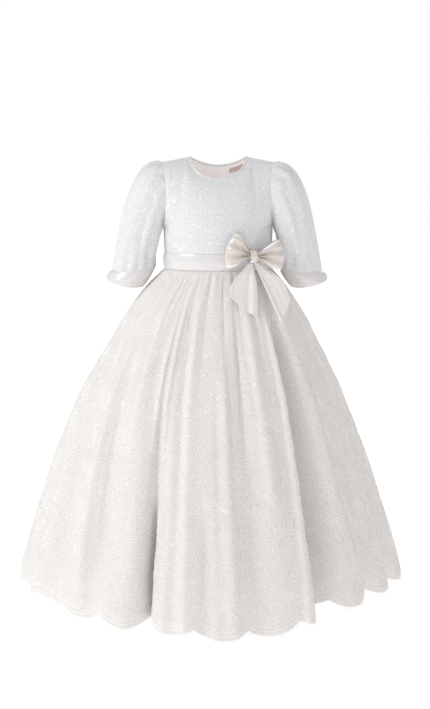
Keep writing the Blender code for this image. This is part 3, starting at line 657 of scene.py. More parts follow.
def sleeve(turn, fall, spread):
    """Sleeve surface: turn round the arm from the shoulder forward, fall 0 at the armhole, 1 at the cuff.

    Each line down it is a Bezier. It leaves the armhole outward, most at the top, and comes down on the cuff.
    """
    start = armhole_ring(turn) + np.array([2.0 * HALF_SEAM, 0.0, 0.0])
    end = cuff_ring(turn, CUFF_TOP_CENTRE, CUFF_TOP_HALF, CUFF_TOP_TILT, spread)
    end = end + np.array([0.0, 0.0, 2.0 * HALF_SEAM])
    top = (1.0 + np.cos(turn)) / 2.0
    front = np.sin(turn)
    leave = np.stack([0.008 + 0.060 * top, -0.014 * front, -0.030 + 0.046 * top], axis=-1)
    arrive = np.stack([-0.002 - 0.018 * top, -0.007 * front, 0.030 + 0.090 * top], axis=-1)
    return bezier(start, start + leave, end + arrive, end, fall[..., None])


# columns: turn at the head, turn at the cuff, first and last share of the fall, depth,
# half width in radians, lean
SLEEVE_CREASES = (
    (0.45, 0.55, 0.00, 0.34, 0.0030, 0.10, 0.5),
    (0.72, 0.80, 0.00, 0.28, -0.0022, 0.12, -0.4),
    (0.20, 0.10, 0.00, 0.30, 0.0024, 0.09, -0.5),
    (1.15, 1.00, 0.10, 0.95, -0.0024, 0.20, 0.4),
    (1.55, 1.75, 0.15, 0.85, 0.0030, 0.16, -0.5),
    (2.10, 2.20, 0.20, 1.00, 0.0026, 0.16, 0.5),
    (0.70, 0.60, 0.45, 1.05, 0.0020, 0.14, 0.3),
    (2.70, 2.60, 0.10, 0.90, -0.0022, 0.20, 0.2),
    (3.60, 3.70, 0.15, 0.95, 0.0026, 0.18, -0.4),
    (4.40, 4.30, 0.20, 0.90, -0.0022, 0.20, 0.4),
    (5.00, 5.10, 0.10, 0.80, 0.0024, 0.16, 0.5),
    (5.70, 5.60, 0.00, 0.35, 0.0026, 0.10, -0.4),
    (6.05, 6.10, 0.35, 1.00, 0.0018, 0.14, 0.3),
)


def sleeve_relief(turn, fall):
    """Height of the head pleats, the gathers over the cuff and the long creases of a sleeve."""
    head = smooth(0.0, 0.07, fall) * (1.0 - smooth(0.10, 0.42, fall))
    head = head * (0.35 + 0.65 * smooth(-0.3, 0.6, np.cos(turn)))
    foot = smooth(0.72, 0.95, fall) * (1.0 - 0.8 * smooth(0.96, 1.0, fall))
    total = (HEAD_PLEAT * head * np.cos(SLEEVE_PLEATS * turn)
             + CUFF_GATHER * foot * np.cos(SLEEVE_PLEATS * turn + 0.6)
             + SLEEVE_SWELL * np.sin(3.0 * turn + 1.0) * np.sin(math.pi * fall) ** 2)
    return total - sum_of_creases(SLEEVE_CREASES, turn, fall, 0.12, 0.20)


def skirt_section(height):
    """Half width, half depth and centre of the skirt at a height."""
    rows = np.array(SKIRT_SECTIONS)[::-1]
    return tuple(curve(rows[:, 0], rows[:, column], height) for column in (1, 2, 3))


def round_skirt(angle, height, change):
    """Points round the skirt's section at a height, moved out from it by change; angle 0 is the front."""
    half_width, half_depth, centre = skirt_section(height)
    return np.stack([centre + (half_width + change) * np.sin(angle),
                     -(half_depth + change) * np.cos(angle), height], axis=-1)


def fold_depth(angle, fall):
    """How far the folds draw the cloth in; each fold runs from its waist angle to its hem angle."""
    total = 0.0 * angle
    for at_waist, at_hem, depth, half in FOLDS:
        centre = np.radians(at_waist + (at_hem - at_waist) * smooth(0.0, 0.8, fall))
        total = total + depth * bell(around(angle - centre), math.radians(half))
    return total * (0.10 * smooth(0.0, 0.08, fall) + 0.90 * smooth(0.04, 0.80, fall))


def crease_depth(angle, fall):
    """Depth of the skirt's finer creases."""
    rows = np.array(CREASES)
    rows[:, [0, 1, 5]] = np.radians(rows[:, [0, 1, 5]])
    return sum_of_creases(rows, angle, fall, 0.20, 0.25)


def hem_level(angle):
    """Height of the hem round the skirt before the scallops are cut."""
    rows = np.array(HEM_RISE)
    return SKIRT_HEM + curve(rows[:, 0], rows[:, 1], np.degrees(angle))


def hem_lengths():
    """Angle and share of the hem's length walked from the centre back, folds and all."""
    angle = np.linspace(-math.pi, math.pi, 1441)
    line = round_skirt(angle, hem_level(angle), -fold_depth(angle, np.ones_like(angle)))
    step = np.linalg.norm(np.diff(line, axis=0), axis=1)
    walked = np.concatenate([[0.0], np.cumsum(step)])
    return angle, walked / walked[-1], walked[-1]


HEM_ANGLE, HEM_SHARE, HEM_LENGTH = hem_lengths()


def cloth_share(angle):
    """Share of the cloth's width at an angle."""
    return np.interp(angle, HEM_ANGLE, HEM_SHARE)


def scallop_cut(share):
    """How far the edge is cut up between scallops: 0 at the middle, full at the points between."""
    part = (share * SCALLOPS + SCALLOP_PHASE) % 1.0
    tight = bell(around(np.interp(share, HEM_SHARE, HEM_ANGLE) + SHALLOW_AT), SHALLOW_HALF)
    return SCALLOP_DEPTH * (1.0 - SHALLOW_BY * tight) * (2.0 * part - 1.0) ** 2


def gather_height(share, fall):
    """Waist gathers: outward waves, each unlike the next, gone by mid skirt, with finer ones between."""
    size = GATHER_TOP + (GATHER_FULL - GATHER_TOP) * smooth(0.0, 0.05, fall)
    uneven = 0.70 + 0.30 * np.sin(TURN * 7.0 * share + 1.0) * np.sin(TURN * 11.0 * share)
    wave = np.abs(np.cos(math.pi * GATHERS * share + 0.5 * np.sin(TURN * 5.0 * share))) ** 0.7
    coarse = 1.20 * size * uneven * wave * (1.0 - smooth(0.05, 0.40, fall))
    fine = FINE_GATHER_HEIGHT * np.sin(TURN * FINE_GATHERS * share + 2.0 * np.sin(TURN * 5.0 * share))
    return coarse + fine * smooth(0.0, 0.02, fall) * (1.0 - smooth(0.03, 0.15, fall))


def overskirt(angle, fall):
    """Lace overskirt: fall 0 at the waist seam and 1 at the solid's scalloped edge.

    The section ellipse at that height, drawn in by folds and creases, let out by gathers.
    """
    angle = around(angle)
    share = cloth_share(angle)
    edge = hem_level(angle) + scallop_cut(share)
    height = SKIRT_TOP + (edge - SKIRT_TOP) * fall
    change = gather_height(share, fall) - fold_depth(angle, fall) - crease_depth(angle, fall)
    return round_skirt(angle, height, change - SEAM_TUCK * (1.0 - smooth(0.0, SEAM_SHARE, fall)))


def underskirt(angle, fall):
    """Plain underskirt: sewn in under the waistband, keeps inside the lace, softer folds."""
    angle = around(angle)
    edge = hem_level(angle) + UNDERSKIRT_SHORTER
    height = SKIRT_TOP + (edge - SKIRT_TOP) * fall
    below = SKIRT_TOP - height
    inside = UNDERSKIRT_IN_TOP + (UNDERSKIRT_IN_BELOW - UNDERSKIRT_IN_TOP) * smooth(0.0, 0.16, below)
    part = np.clip(below / SKIRT_LENGTH, 0.0, 1.0)
    change = -inside - UNDERSKIRT_FOLD_SHARE * fold_depth(angle, part) - crease_depth(angle, part)
    return round_skirt(angle, height, change + UNDERSKIRT_HEM_TURN * smooth(0.972, 0.976, fall))


def skirt_columns(low, high):
    """Column angles between two seams: even steps of cloth that fall on the scallop points."""
    steps = (np.arange(SCALLOPS * SCALLOP_PARTS + 1) / SCALLOP_PARTS - SCALLOP_PHASE) / SCALLOPS
    angles = np.interp(steps % 1.0, HEM_SHARE, HEM_ANGLE)
    margin = math.radians(0.3)
    inner = np.sort(angles[(angles > low + margin) & (angles < high - margin)])
    keep = np.concatenate([[True], np.diff(inner) > 1e-6])
    return np.concatenate([[low], inner[keep], [high]])


def skirt_wall(name, angles, falls, surface, wall, finish, seams):
    """Panel of a skirt between two seams; its inner face is moved in along the normals."""
    angle, fall = places(angles, falls)
    outer = surface(angle, fall)
    normal = grid_normals(outer, False, outer * np.array([0.0, 0.0, 1.0]))
    inner = outer - wall * normal
    inner[0, :, 2] = outer[0, :, 2]
    for axis, sign in seams:
        middle = skirt_section(outer[..., 2])[2] if axis == 0 else 0.0
        for grid in (outer, inner):
            keep_side(grid, axis, sign, middle)
    return add_wall(name, outer, inner, finish)


# Raised cords


def surface_frame(surface, u, v, step=1e-4):
    """Points of a surface and its unit normals, from small steps along both of its directions."""
    point = surface(u, v)
    normal = unit(np.cross(surface(u + step, v) - point, surface(u, v + step) - point))
    return point, normal


def cord_strips(surface, u, v, half, rise):
    """Half-round cords along lines on a skirt surface: two sunk edges and a raised crown for each point.

    The last axis of u and v runs along each line. Returns points and faces.
    """
    point, normal = surface_frame(surface, u, v)
    normal = -normal
    along = np.gradient(point, axis=-2)
    side = unit(np.cross(normal, along)) * half
    grid = np.stack([point - side - CORD_SINK * normal, point + rise * normal,
                     point + side - CORD_SINK * normal], axis=-2)
    count = np.arange(grid[..., 0].size).reshape(grid.shape[:-1])
    faces = quads(count[..., :-1, :-1], count[..., 1:, :-1], count[..., 1:, 1:], count[..., :-1, 1:])
    return grid.reshape(-1, 3), faces


def add_cords(name, parts):
    """One piece of embroidery cord from several sets of points and faces."""
    starts = np.cumsum([0] + [len(points) for points, faces in parts])
    points = np.concatenate([points for points, faces in parts])
    faces = np.concatenate([faces + start for (_, faces), start in zip(parts, starts)])
    return add_piece(name, points, faces.tolist(), [finish_for("cord")], sharp=180.0)


def flower_lines():
    """Closed wavy rings round a centre.

    Reach is the radius times one minus the lobes' depth, plus that depth times a lobed cosine.
    """
    turn = np.linspace(0.0, TURN, FLOWER_POINTS)
    rings = []
    for radius, lobes, depth, shift in FLOWER_RINGS:
        wave = np.abs(np.cos(lobes * turn / 2.0 + shift * math.pi)) ** 0.7
        reach = radius * (1.0 - depth + depth * wave)
        rings.append(np.stack([reach * np.cos(turn), reach * np.sin(turn)], axis=-1))
    return np.stack(rings)


def flower_ribs(first, last, count, points):
    """Short straight lines from one radius to another, evenly round."""
    turn = np.arange(count)[:, None] * TURN / count
    reach = np.linspace(first, last, points)[None, :]
    return np.stack([reach * np.cos(turn), reach * np.sin(turn)], axis=-1)


def spray_stem():
    """Stem of a leaf spray: a slow S along y."""
    part = np.linspace(-1.0, 1.0, 25)
    return np.stack([SPRAY_SWAY * np.sin(math.pi * part), SPRAY_HALF_LENGTH * part], axis=-1)[None]


def spray_leaves():
    """Pairs of pointed ovals along the stem, larger in the middle."""
    part = np.linspace(0.0, 1.0, 9)
    outline = np.concatenate([
        np.stack([LEAF_LENGTH * part, LEAF_HALF_WIDTH * np.sin(math.pi * part) ** 0.8], axis=-1),
        np.stack([LEAF_LENGTH * part, -LEAF_HALF_WIDTH * np.sin(math.pi * part) ** 0.8], axis=-1)[-2::-1]])
    foot = np.linspace(-0.86, 0.86, SPRAY_LEAVES)
    leaves = []
    for side in (-1.0, 1.0):
        lean = QUARTER - side * 0.95
        turned = np.stack([outline[:, 0] * math.cos(lean) - outline[:, 1] * math.sin(lean),
                           outline[:, 0] * math.sin(lean) + outline[:, 1] * math.cos(lean)], axis=-1)
        size = 0.62 + 0.38 * np.cos(foot * 1.3)
        root = np.stack([SPRAY_SWAY * np.sin(math.pi * foot), SPRAY_HALF_LENGTH * foot], axis=-1)
        leaves.append(turned[None] * size[:, None, None] + root[:, None, :])
    return np.concatenate(leaves)


def lay_on_skirt(lines, angle, fall, size, turn):
    """Flat lines laid round the skirt: each copy turned, scaled and bent over the cloth at its own place.

    A step across becomes a turn round the section, a step along becomes a share of the fall.
    """
    cos = np.cos(turn)[:, None, None]
    sin = np.sin(turn)[:, None, None]
    x = (lines[None, ..., 0] * cos - lines[None, ..., 1] * sin) * size[:, None, None]
    y = (lines[None, ..., 0] * sin + lines[None, ..., 1] * cos) * size[:, None, None]
    half_width, half_depth, centre = skirt_section(SKIRT_TOP - SKIRT_LENGTH * fall)
    speed = np.hypot(half_width * np.cos(angle), half_depth * np.sin(angle))
    return (angle[:, None, None] + x / speed[:, None, None],
            np.maximum(fall[:, None, None] - y / SKIRT_LENGTH, SEAM_SHARE))


# Finishes


def feed(tree, node, inputs):
    """Set sockets, by name or number, to values or to the sockets that feed them."""
    for key, value in inputs.items():
        if isinstance(value, bpy.types.NodeSocket):
            tree.links.new(value, node.inputs[key])
        else:
            node.inputs[key].default_value = value


def add_node(tree, kind, inputs=None, **settings):
    """Add a shader node with its settings and inputs; sockets 6 and 7 of a colour Mix are its two colours."""
    node = tree.nodes.new(kind)
    for name, value in settings.items():
        setattr(node, name, value)
    feed(tree, node, inputs or {})
    return node


def new_finish(name, inputs):
    """New material, its node tree, its Principled shader with the inputs set, its Object coordinates."""
    finish = bpy.data.materials.new(name)
    finish.use_nodes = True
    tree = finish.node_tree
    shader = tree.nodes["Principled BSDF"]
    feed(tree, shader, inputs)
    return finish, tree, shader, add_node(tree, "ShaderNodeTexCoord").outputs["Object"]


def cord_mask(tree, place, cell, lines, width):
    """Curling cord lines: rings round scattered points, bent by noise.

    cell is the size of one curl in metres, lines how many rings it has, width the share that is cord.
    """
    bend = add_node(tree, "ShaderNodeTexNoise", {"Vector": place, "Scale": 1.0 / (1.3 * cell), "Detail": 1.0})
    shift = add_node(tree, "ShaderNodeVectorMath", {0: bend.outputs["Color"], 1: (0.5, 0.5, 0.5)},
                     operation="SUBTRACT")
    moved = add_node(tree, "ShaderNodeVectorMath", {0: shift.outputs[0], 1: (1.1 * cell,) * 3, 2: place},
                     operation="MULTIPLY_ADD")
    curls = add_node(tree, "ShaderNodeTexVoronoi", {"Vector": moved.outputs[0], "Scale": 1.0 / cell},
                     feature="F1")
    ring = add_node(tree, "ShaderNodeMath", {0: curls.outputs["Distance"], 1: lines}, operation="MULTIPLY")
    wave = add_node(tree, "ShaderNodeMath", {0: ring.outputs[0], 1: 0.5}, operation="PINGPONG")
    start = 0.5 - 0.5 * width
    return add_node(tree, "ShaderNodeMapRange",
                    {"Value": wave.outputs[0], "From Min": start - CORD_EDGE, "From Max": start + CORD_EDGE},
                    interpolation_type="SMOOTHSTEP").outputs["Result"]


def corded_lace_over_lining(colours):
    """Corded polyester lace lying on its lining, as on the bodice and the sleeves.

    White cord stands proud of a greyer net in tight curls about 11 mm across, matt with a little sheen.
    """
    finish, tree, shader, place = new_finish("Corded lace over lining, embroidered polyester net", {
        "Roughness": 0.62, "Sheen Weight": 0.25, "Sheen Roughness": 0.45, "Specular IOR Level": 0.35})
    mask = cord_mask(tree, place, BODICE_CURL, 3.0, 0.36)
    slow = add_node(tree, "ShaderNodeTexNoise", {"Vector": place, "Scale": 1.0 / 0.060})
    ground = add_node(tree, "ShaderNodeMix", {0: slow.outputs["Fac"], 6: colours.net_shade, 7: colours.net},
                      data_type="RGBA")
    corded = add_node(tree, "ShaderNodeMix", {0: mask, 6: ground.outputs[2], 7: colours.bodice_cord},
                      data_type="RGBA")
    relief = add_node(tree, "ShaderNodeBump", {"Height": mask, "Strength": 0.50, "Distance": 0.0006})
    feed(tree, shader, {"Base Color": corded.outputs[2], "Normal": relief.outputs["Normal"]})
    return finish


def skirt_lace(colours):
    """Sheer lace of the overskirt: fine cord curls about 21 mm across on a see-through tulle ground.

    The tulle's own 1 mm holes are too fine to show, so the ground is partly transparent instead.
    """
    finish, tree, shader, place = new_finish("Skirt lace, embroidered polyester tulle", {
        "Roughness": 0.60, "Sheen Weight": 0.20, "Sheen Roughness": 0.5, "Specular IOR Level": 0.30})
    mask = cord_mask(tree, place, SKIRT_CURL, 3.6, 0.14)
    slow = add_node(tree, "ShaderNodeTexNoise", {"Vector": place, "Scale": 1.0 / 0.110})
    ground = add_node(tree, "ShaderNodeMix",
                      {0: slow.outputs["Fac"], 6: colours.skirt_net_shade, 7: colours.skirt_net},
                      data_type="RGBA")
    soft = add_node(tree, "ShaderNodeMath", {0: mask, 1: 0.60}, operation="MULTIPLY")
    corded = add_node(tree, "ShaderNodeMix", {0: soft.outputs[0], 6: ground.outputs[2], 7: colours.cord},
                      data_type="RGBA")
    cover = add_node(tree, "ShaderNodeMapRange", {"Value": mask, "To Min": 0.88, "To Max": 0.95})
    relief = add_node(tree, "ShaderNodeBump", {"Height": mask, "Strength": 0.16, "Distance": 0.0005})
    feed(tree, shader, {"Base Color": corded.outputs[2], "Alpha": cover.outputs["Result"],
                        "Normal": relief.outputs["Normal"]})
    return finish


def embroidery_cord(colours):
    """Rayon embroidery cord of the flowers, leaves and edge: soft gloss, mottled by its twist.

    The twist's 0.3 mm ticks are too fine to show, so they are drawn at 1.6 mm.
    """
    finish, tree, shader, place = new_finish("Embroidery cord, twisted rayon", {
        "Roughness": 0.42, "Sheen Weight": 0.2, "Specular IOR Level": 0.45})
    twist = add_node(tree, "ShaderNodeTexNoise", {"Vector": place, "Scale": 1.0 / TWIST_TICK, "Detail": 1.0})
    tone = add_node(tree, "ShaderNodeMix", {0: twist.outputs["Fac"], 6: colours.skirt_net, 7: colours.cord},
                    data_type="RGBA")
    relief = add_node(tree, "ShaderNodeBump",
                      {"Height": twist.outputs["Fac"], "Strength": 0.3, "Distance": 0.0003})
    feed(tree, shader, {"Base Color": tone.outputs[2], "Normal": relief.outputs["Normal"]})
    return finish


def duchess_satin(name, colour, shade, streaks):
    """Heavy polyester satin, woven so that long floats lie along one direction: a broad soft highlight.

    The 0.1 mm floats are too fine to show, so streaks of a few millimetres stand for them in roughness and
    bump, and as painted sheen in the colour: lighter and darker streaks of tone.
    """
    finish, tree, shader, place = new_finish(name, {
        "Sheen Weight": 0.10, "Sheen Roughness": 0.4, "Specular IOR Level": 0.95, "Anisotropic": 0.35,
        "Coat Weight": 0.5, "Coat Roughness": 0.20})
    spread = add_node(tree, "ShaderNodeMapping", {"Vector": place, "Scale": streaks})
    floats = add_node(tree, "ShaderNodeTexNoise",
                      {"Vector": spread.outputs["Vector"], "Scale": 1.0, "Detail": 3.0}).outputs["Fac"]
    # tone: painted sheen, lighter and darker streaks of colour for the floats' glints
    tone = add_node(tree, "ShaderNodeMix", {0: floats, 6: shade, 7: colour}, data_type="RGBA")
    rough = add_node(tree, "ShaderNodeMapRange", {"Value": floats, "To Min": 0.20, "To Max": 0.34})
    relief = add_node(tree, "ShaderNodeBump", {"Height": floats, "Strength": 0.05, "Distance": 0.0005})
    feed(tree, shader, {"Base Color": tone.outputs[2], "Roughness": rough.outputs["Result"],
                        "Normal": relief.outputs["Normal"]})
    return finish


def plain_weave(name, colour, shade, roughness, thread, painted_glow=0.0):
    """Plain woven cloth: crossing threads at the given spacing, drawn coarser than the real 0.2 mm.

    The last argument is a painted glow: a faint glow of its own that lightens cloth lying in shade, as the
    lining inside the neck.
    """
    finish, tree, shader, place = new_finish(name, {
        "Roughness": roughness, "Sheen Weight": 0.15, "Specular IOR Level": 0.30,
        "Emission Color": colour, "Emission Strength": painted_glow})
    threads = []
    for scale in ((1.0, 1.0, THREAD_RUN), (THREAD_RUN, THREAD_RUN, 1.0)):
        spread = add_node(tree, "ShaderNodeMapping",
                          {"Vector": place, "Scale": tuple(part / thread for part in scale)})
        threads.append(add_node(tree, "ShaderNodeTexNoise", {
            "Vector": spread.outputs["Vector"], "Scale": 1.0, "Detail": 1.0}).outputs["Fac"])
    woven = add_node(tree, "ShaderNodeMath", {0: threads[0], 1: threads[1]}, operation="MAXIMUM").outputs[0]
    tone = add_node(tree, "ShaderNodeMix", {0: woven, 6: shade, 7: colour}, data_type="RGBA")
    relief = add_node(tree, "ShaderNodeBump", {"Height": woven, "Strength": 0.25, "Distance": 0.0003})
    feed(tree, shader, {"Base Color": tone.outputs[2], "Normal": relief.outputs["Normal"]})
    return finish


def pearl_bead(colours):
    """Moulded bead with a pearl coat: smooth, with a warm body and a clear top gloss."""
    finish, tree, shader, place = new_finish("Pearl bead, coated acrylic", {
        "Roughness": 0.22, "Coat Weight": 0.6, "Coat Roughness": 0.08, "Specular IOR Level": 0.6})
    cloud = add_node(tree, "ShaderNodeTexNoise", {"Vector": place, "Scale": 1.0 / 0.003, "Detail": 1.0})
    tone = add_node(tree, "ShaderNodeMix", {0: cloud.outputs["Fac"], 6: colours.pearl, 7: colours.cord},
                    data_type="RGBA")
    feed(tree, shader, {"Base Color": tone.outputs[2]})
    return finish


MADE = {}


def finish_for(key):
    """The finish of a kind of cloth, made once from the scene's dress colours."""
    colours = bpy.context.scene.dress_colours
    # each satin's second colour is the darker end of its painted sheen streaks
    satin = (colours.satin, colours.satin_painted_sheen_streak)
    bow = (colours.bow, colours.bow_painted_sheen_streak)
    # the loops' colours are painted shade: a darker satin for the shade inside the loops
    loop_painted_shade_colours = (colours.bow_loop_painted_shade, colours.bow_loop_painted_shade_deeper)
    lining = (colours.lining, colours.lining_shade)
    taffeta = (colours.underskirt, colours.underskirt_shade)
    label = (colours.label, colours.label_shade)
    makers = {
        "bodice lace": (corded_lace_over_lining, colours),
        "skirt lace": (skirt_lace, colours),
        "cord": (embroidery_cord, colours),
        "band satin": (duchess_satin, "Waistband satin, woven polyester", *satin, BAND_STREAKS),
        "cuff satin": (duchess_satin, "Cuff satin, woven polyester", *satin, CUFF_STREAKS),
        "bow satin": (duchess_satin, "Bow satin, woven polyester", *bow, BOW_STREAKS),
        "loop satin with painted shade": (duchess_satin, "Bow satin, wrong side, woven polyester", *loop_painted_shade_colours, BOW_STREAKS),
        "binding satin": (duchess_satin, "Neck binding satin, bias cut", *satin, BINDING_STREAKS),
        # the lining's last number is painted glow, to lighten the shade inside the neck
        "lining": (plain_weave, "Lining, plain weave polyester", *lining, 0.80, LINING_THREAD, 0.14),
        "underskirt": (plain_weave, "Underskirt taffeta, plain weave", *taffeta, 0.50, TAFFETA_THREAD),
        "label": (plain_weave, "Label, woven polyester ribbon", *label, 0.60, LABEL_THREAD),
        "pearl": (pearl_bead, colours),
    }
    if key not in MADE:
        maker, *values = makers[key]
        MADE[key] = maker(*values)
    return MADE[key]


def colour_setting(name, description, code):
    """Colour property whose default is an sRGB hex colour."""
    return FloatVectorProperty(name=name, description=description, subtype="COLOR", size=4,
                               min=0.0, max=1.0, default=linear(code))


def number_setting(name, description, default, low, high, unit="NONE"):
    """Number property between two limits."""
    return FloatProperty(name=name, description=description, default=default, min=low, max=high, unit=unit)


class DressColours(bpy.types.PropertyGroup):
    """Colours of the dress."""

    cord: colour_setting("Lace cord", "Raised cord of the skirt lace", "FFFFFF")
    bodice_cord: colour_setting("Bodice cord", "Cord of the bodice and sleeves", "ECEDEF")
    net: colour_setting("Lace net", "Net ground of the bodice and sleeves", "DEDFE1")
    net_shade: colour_setting("Lace net, deeper", "Deeper places of the net", "DBDCDF")
    skirt_net: colour_setting("Skirt net", "Tulle ground of the skirt", "F4F1ED")
    skirt_net_shade: colour_setting("Skirt net, deeper", "Deeper places of the tulle", "EEEBE7")
    satin: colour_setting("Satin", "Waistband, cuffs and neck binding", "E5E4E4")
    # The deeper satin colours are painted sheen: the darker end of the streaks of tone.
    satin_painted_sheen_streak: colour_setting("Satin, deeper", "Painted sheen streaks in the satin", "DFDDDD")
    bow: colour_setting("Bow satin", "Knot, tails and rims of the loops", "FAF8F7")
    bow_painted_sheen_streak: colour_setting("Bow satin, deeper", "Painted sheen streaks in the bow", "F5F2F0")
    # The loops' colours are painted shade: a darker satin for the shade inside the loops.
    bow_loop_painted_shade: colour_setting("Bow loop satin with painted shade", "Colour of the loops, darkened for painted shade", "DFD8D2")
    bow_loop_painted_shade_deeper: colour_setting("Bow loop satin with painted shade, deeper", "Streaks of the loops' painted shade", "D3CBC4")
    lining: colour_setting("Lining", "Lining inside the neck", "F6F3F2")
    lining_shade: colour_setting("Lining, deeper", "Threads of the lining", "EFEBEA")
    underskirt: colour_setting("Underskirt", "Plain underskirt", "F5F3EE")
    underskirt_shade: colour_setting("Underskirt, deeper", "Threads of the underskirt", "EFECE5")
    label: colour_setting("Label", "Bare woven label", "DCC8C2")
    label_shade: colour_setting("Label, deeper", "Threads of the label", "CDB5AE")
    pearl: colour_setting("Pearl", "Small beads on the knot", "DCD0B0")


class DressSizes(bpy.types.PropertyGroup):
    """Sizes of the lace and of the trims."""

    flower_cord: number_setting("Flower cord width", "Width of the flower outlines",
                                0.0016, 0.0005, 0.004, "LENGTH")
    leaf_cord: number_setting("Leaf cord width", "Width of the leaf outlines",
                              0.0012, 0.0005, 0.004, "LENGTH")
    cord_rise: number_setting("Cord height", "How far the cord stands above the net",
                              0.0009, 0.0002, 0.002, "LENGTH")
    flower_size: number_setting("Flower size", "Size of the lace flowers", 1.0, 0.5, 1.5)
    lashes: IntProperty(name="Loose cord ends", description="Loose cord ends in each scallop",
                        default=34, min=8, max=60)
    pearl_radius: number_setting("Pearl radius", "Radius of a bead on the knot",
                                 0.0022, 0.001, 0.005, "LENGTH")


class StageSettings(bpy.types.PropertyGroup):
    """Light, floor and camera."""

    floor: colour_setting("Floor", "Colour of the floor", "C8C6C6")
    # The floor's glow is painted light, weaker near the dress.
    floor_painted_glow: number_setting("Floor painted glow", "Painted glow of the floor paper, weaker near the dress", 0.72, 0.0, 2.0)
    sky: number_setting("Soft light", "Strength of the light from all round", 0.60, 0.0, 3.0)
    key: number_setting("Key light", "Power of the large light at the left", 46.0, 0.0, 400.0, "POWER")
    back: number_setting("Back light", "Power of the light behind the dress", 20.0, 0.0, 400.0, "POWER")
    camera_distance: number_setting("Camera distance", "From the dress's middle plane",
                                    3.2, 1.0, 10.0, "LENGTH")


# Operators


class DRESS_OT_bodice(bpy.types.Operator):
    """Bodice front and backs: corded lace walls with soft creases."""

    bl_idname = "dress.bodice"
    bl_label = "Lace bodice"

    def execute(self, context):
        halves = np.linspace(0.0, 1.0, 61)
        rises = np.linspace(0.0, 1.0, 81)
        panels = (
            ("bodice_front", np.concatenate([-halves[:0:-1], halves]), False, ((1, -1.0),), (0.31, 0.20)),
            ("bodice_back_left", -halves[::-1], True, ((1, 1.0), (0, -1.0)), (0.15, 0.20)),
            ("bodice_back_right", halves, True, ((1, 1.0), (0, 1.0)), (0.15, 0.20)),
        )
        for name, across, back, seams, flat in panels:
            place, rise, face, normal = bodice_panel(across, rises, back)
            outer = face + bodice_creases(place, rise)[..., None] * normal
            inner = outer - LACE_WALL * normal
            for grid in (outer, inner):
                grid[0, :, 2] = WAIST_Z
                for axis, sign in seams:
                    keep_side(grid, axis, sign)
            piece = add_wall(name + "_lace", outer, inner, finish_for("bodice lace"), finish_for("lining"))
            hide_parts(name)
        return {"FINISHED"}


class DRESS_OT_lining(bpy.types.Operator):
    """Back lining and the bare label on it, as seen inside the neck."""

    bl_idname = "dress.lining"
    bl_label = "Back lining and label"

    def execute(self, context):
        halves = np.linspace(0.0, 0.975, 49)
        rises = np.linspace(0.0, 0.990, 61)
        for name, across, sign in (("lining_back_left", -halves[::-1], -1.0),
                                   ("lining_back_right", halves, 1.0)):
            place, rise, face, normal = bodice_panel(across, rises, True)
            edge = LINING_LEAN * np.maximum(smooth(0.93, 1.0, rise), smooth(0.92, 1.0, np.abs(place)))
            dimple = LINING_CLEAR * np.sin(19.0 * place + 5.0 * rise) * np.sin(math.pi * rise) ** 2
            dimple = dimple * smooth(0.02, 0.2, 1.0 - np.abs(place))
            behind = (LINING_IN + edge + LINING_CLEAR + dimple)[..., None]
            outer = face - behind * normal
            inner = outer - THIN_WALL * normal
            for grid in (outer, inner):
                grid[0, :, 2] = WAIST_Z
                keep_side(grid, 1, 1.0)
                keep_side(grid, 0, sign)
            piece = add_wall(name + "_cloth", outer, inner, finish_for("lining"))
            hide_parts(name)
        place, rise, face, normal = bodice_panel(np.linspace(*LABEL_ACROSS, 25),
                                                 np.linspace(*LABEL_UP, 13), True)
        edge = LINING_LEAN * smooth(0.93, 1.0, rise)
        behind = LINING_IN + edge + LINING_CLEAR + THIN_WALL + LABEL_CLEAR
        outer = face - behind[..., None] * normal
        piece = add_wall("neck_label_ribbon", outer, outer - RIBBON_WALL * normal, finish_for("label"))
        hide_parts("neck_label")
        return {"FINISHED"}


class DRESS_OT_neck_binding(bpy.types.Operator):
    """Narrow satin binding folded over the neck edge."""

    bl_idname = "dress.neck_binding"
    bl_label = "Neck binding"

    def execute(self, context):
        turn = np.linspace(0.0, TURN, 160, endpoint=False)
        back = (np.cos(turn) < -1e-9)[:, None]
        line = np.where(back, neck_line(turn, True), neck_line(turn, False))
        fall = np.where(back, neck_fall(turn, True), neck_fall(turn, False))
        tangent = unit(np.roll(line, -1, axis=0) - np.roll(line, 1, axis=0))
        fall = unit(fall - tangent * np.sum(fall * tangent, axis=1, keepdims=True))
        out = np.cross(tangent, fall)
        section = np.linspace(0.0, TURN, 12, endpoint=False)
        pucker = 1.0 + 0.05 * np.sin(61.0 * turn)[:, None, None]
        grid = (line[:, None, :]
                + BINDING_HALF_WIDTH * np.cos(section)[None, :, None] * fall[:, None, :]
                + pucker * BINDING_HALF_THICKNESS * np.sin(section)[None, :, None] * out[:, None, :])
        count = grid_numbers(grid.shape[:2], ring=True, tube=True)
        faces = quads(count[:-1, :-1], count[:-1, 1:], count[1:, 1:], count[1:, :-1])
        facing = np.cross(grid[0, 1] - grid[0, 0], grid[1, 0] - grid[0, 0])
        if np.dot(facing, grid[0, 0] - line[0]) < 0.0:
            faces = faces[:, ::-1]
        satin = finish_for("binding satin")
        piece = add_piece("neck_binding_satin", grid, faces.tolist(), [satin], sharp=80.0)
        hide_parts("neck_binding")
        return {"FINISHED"}


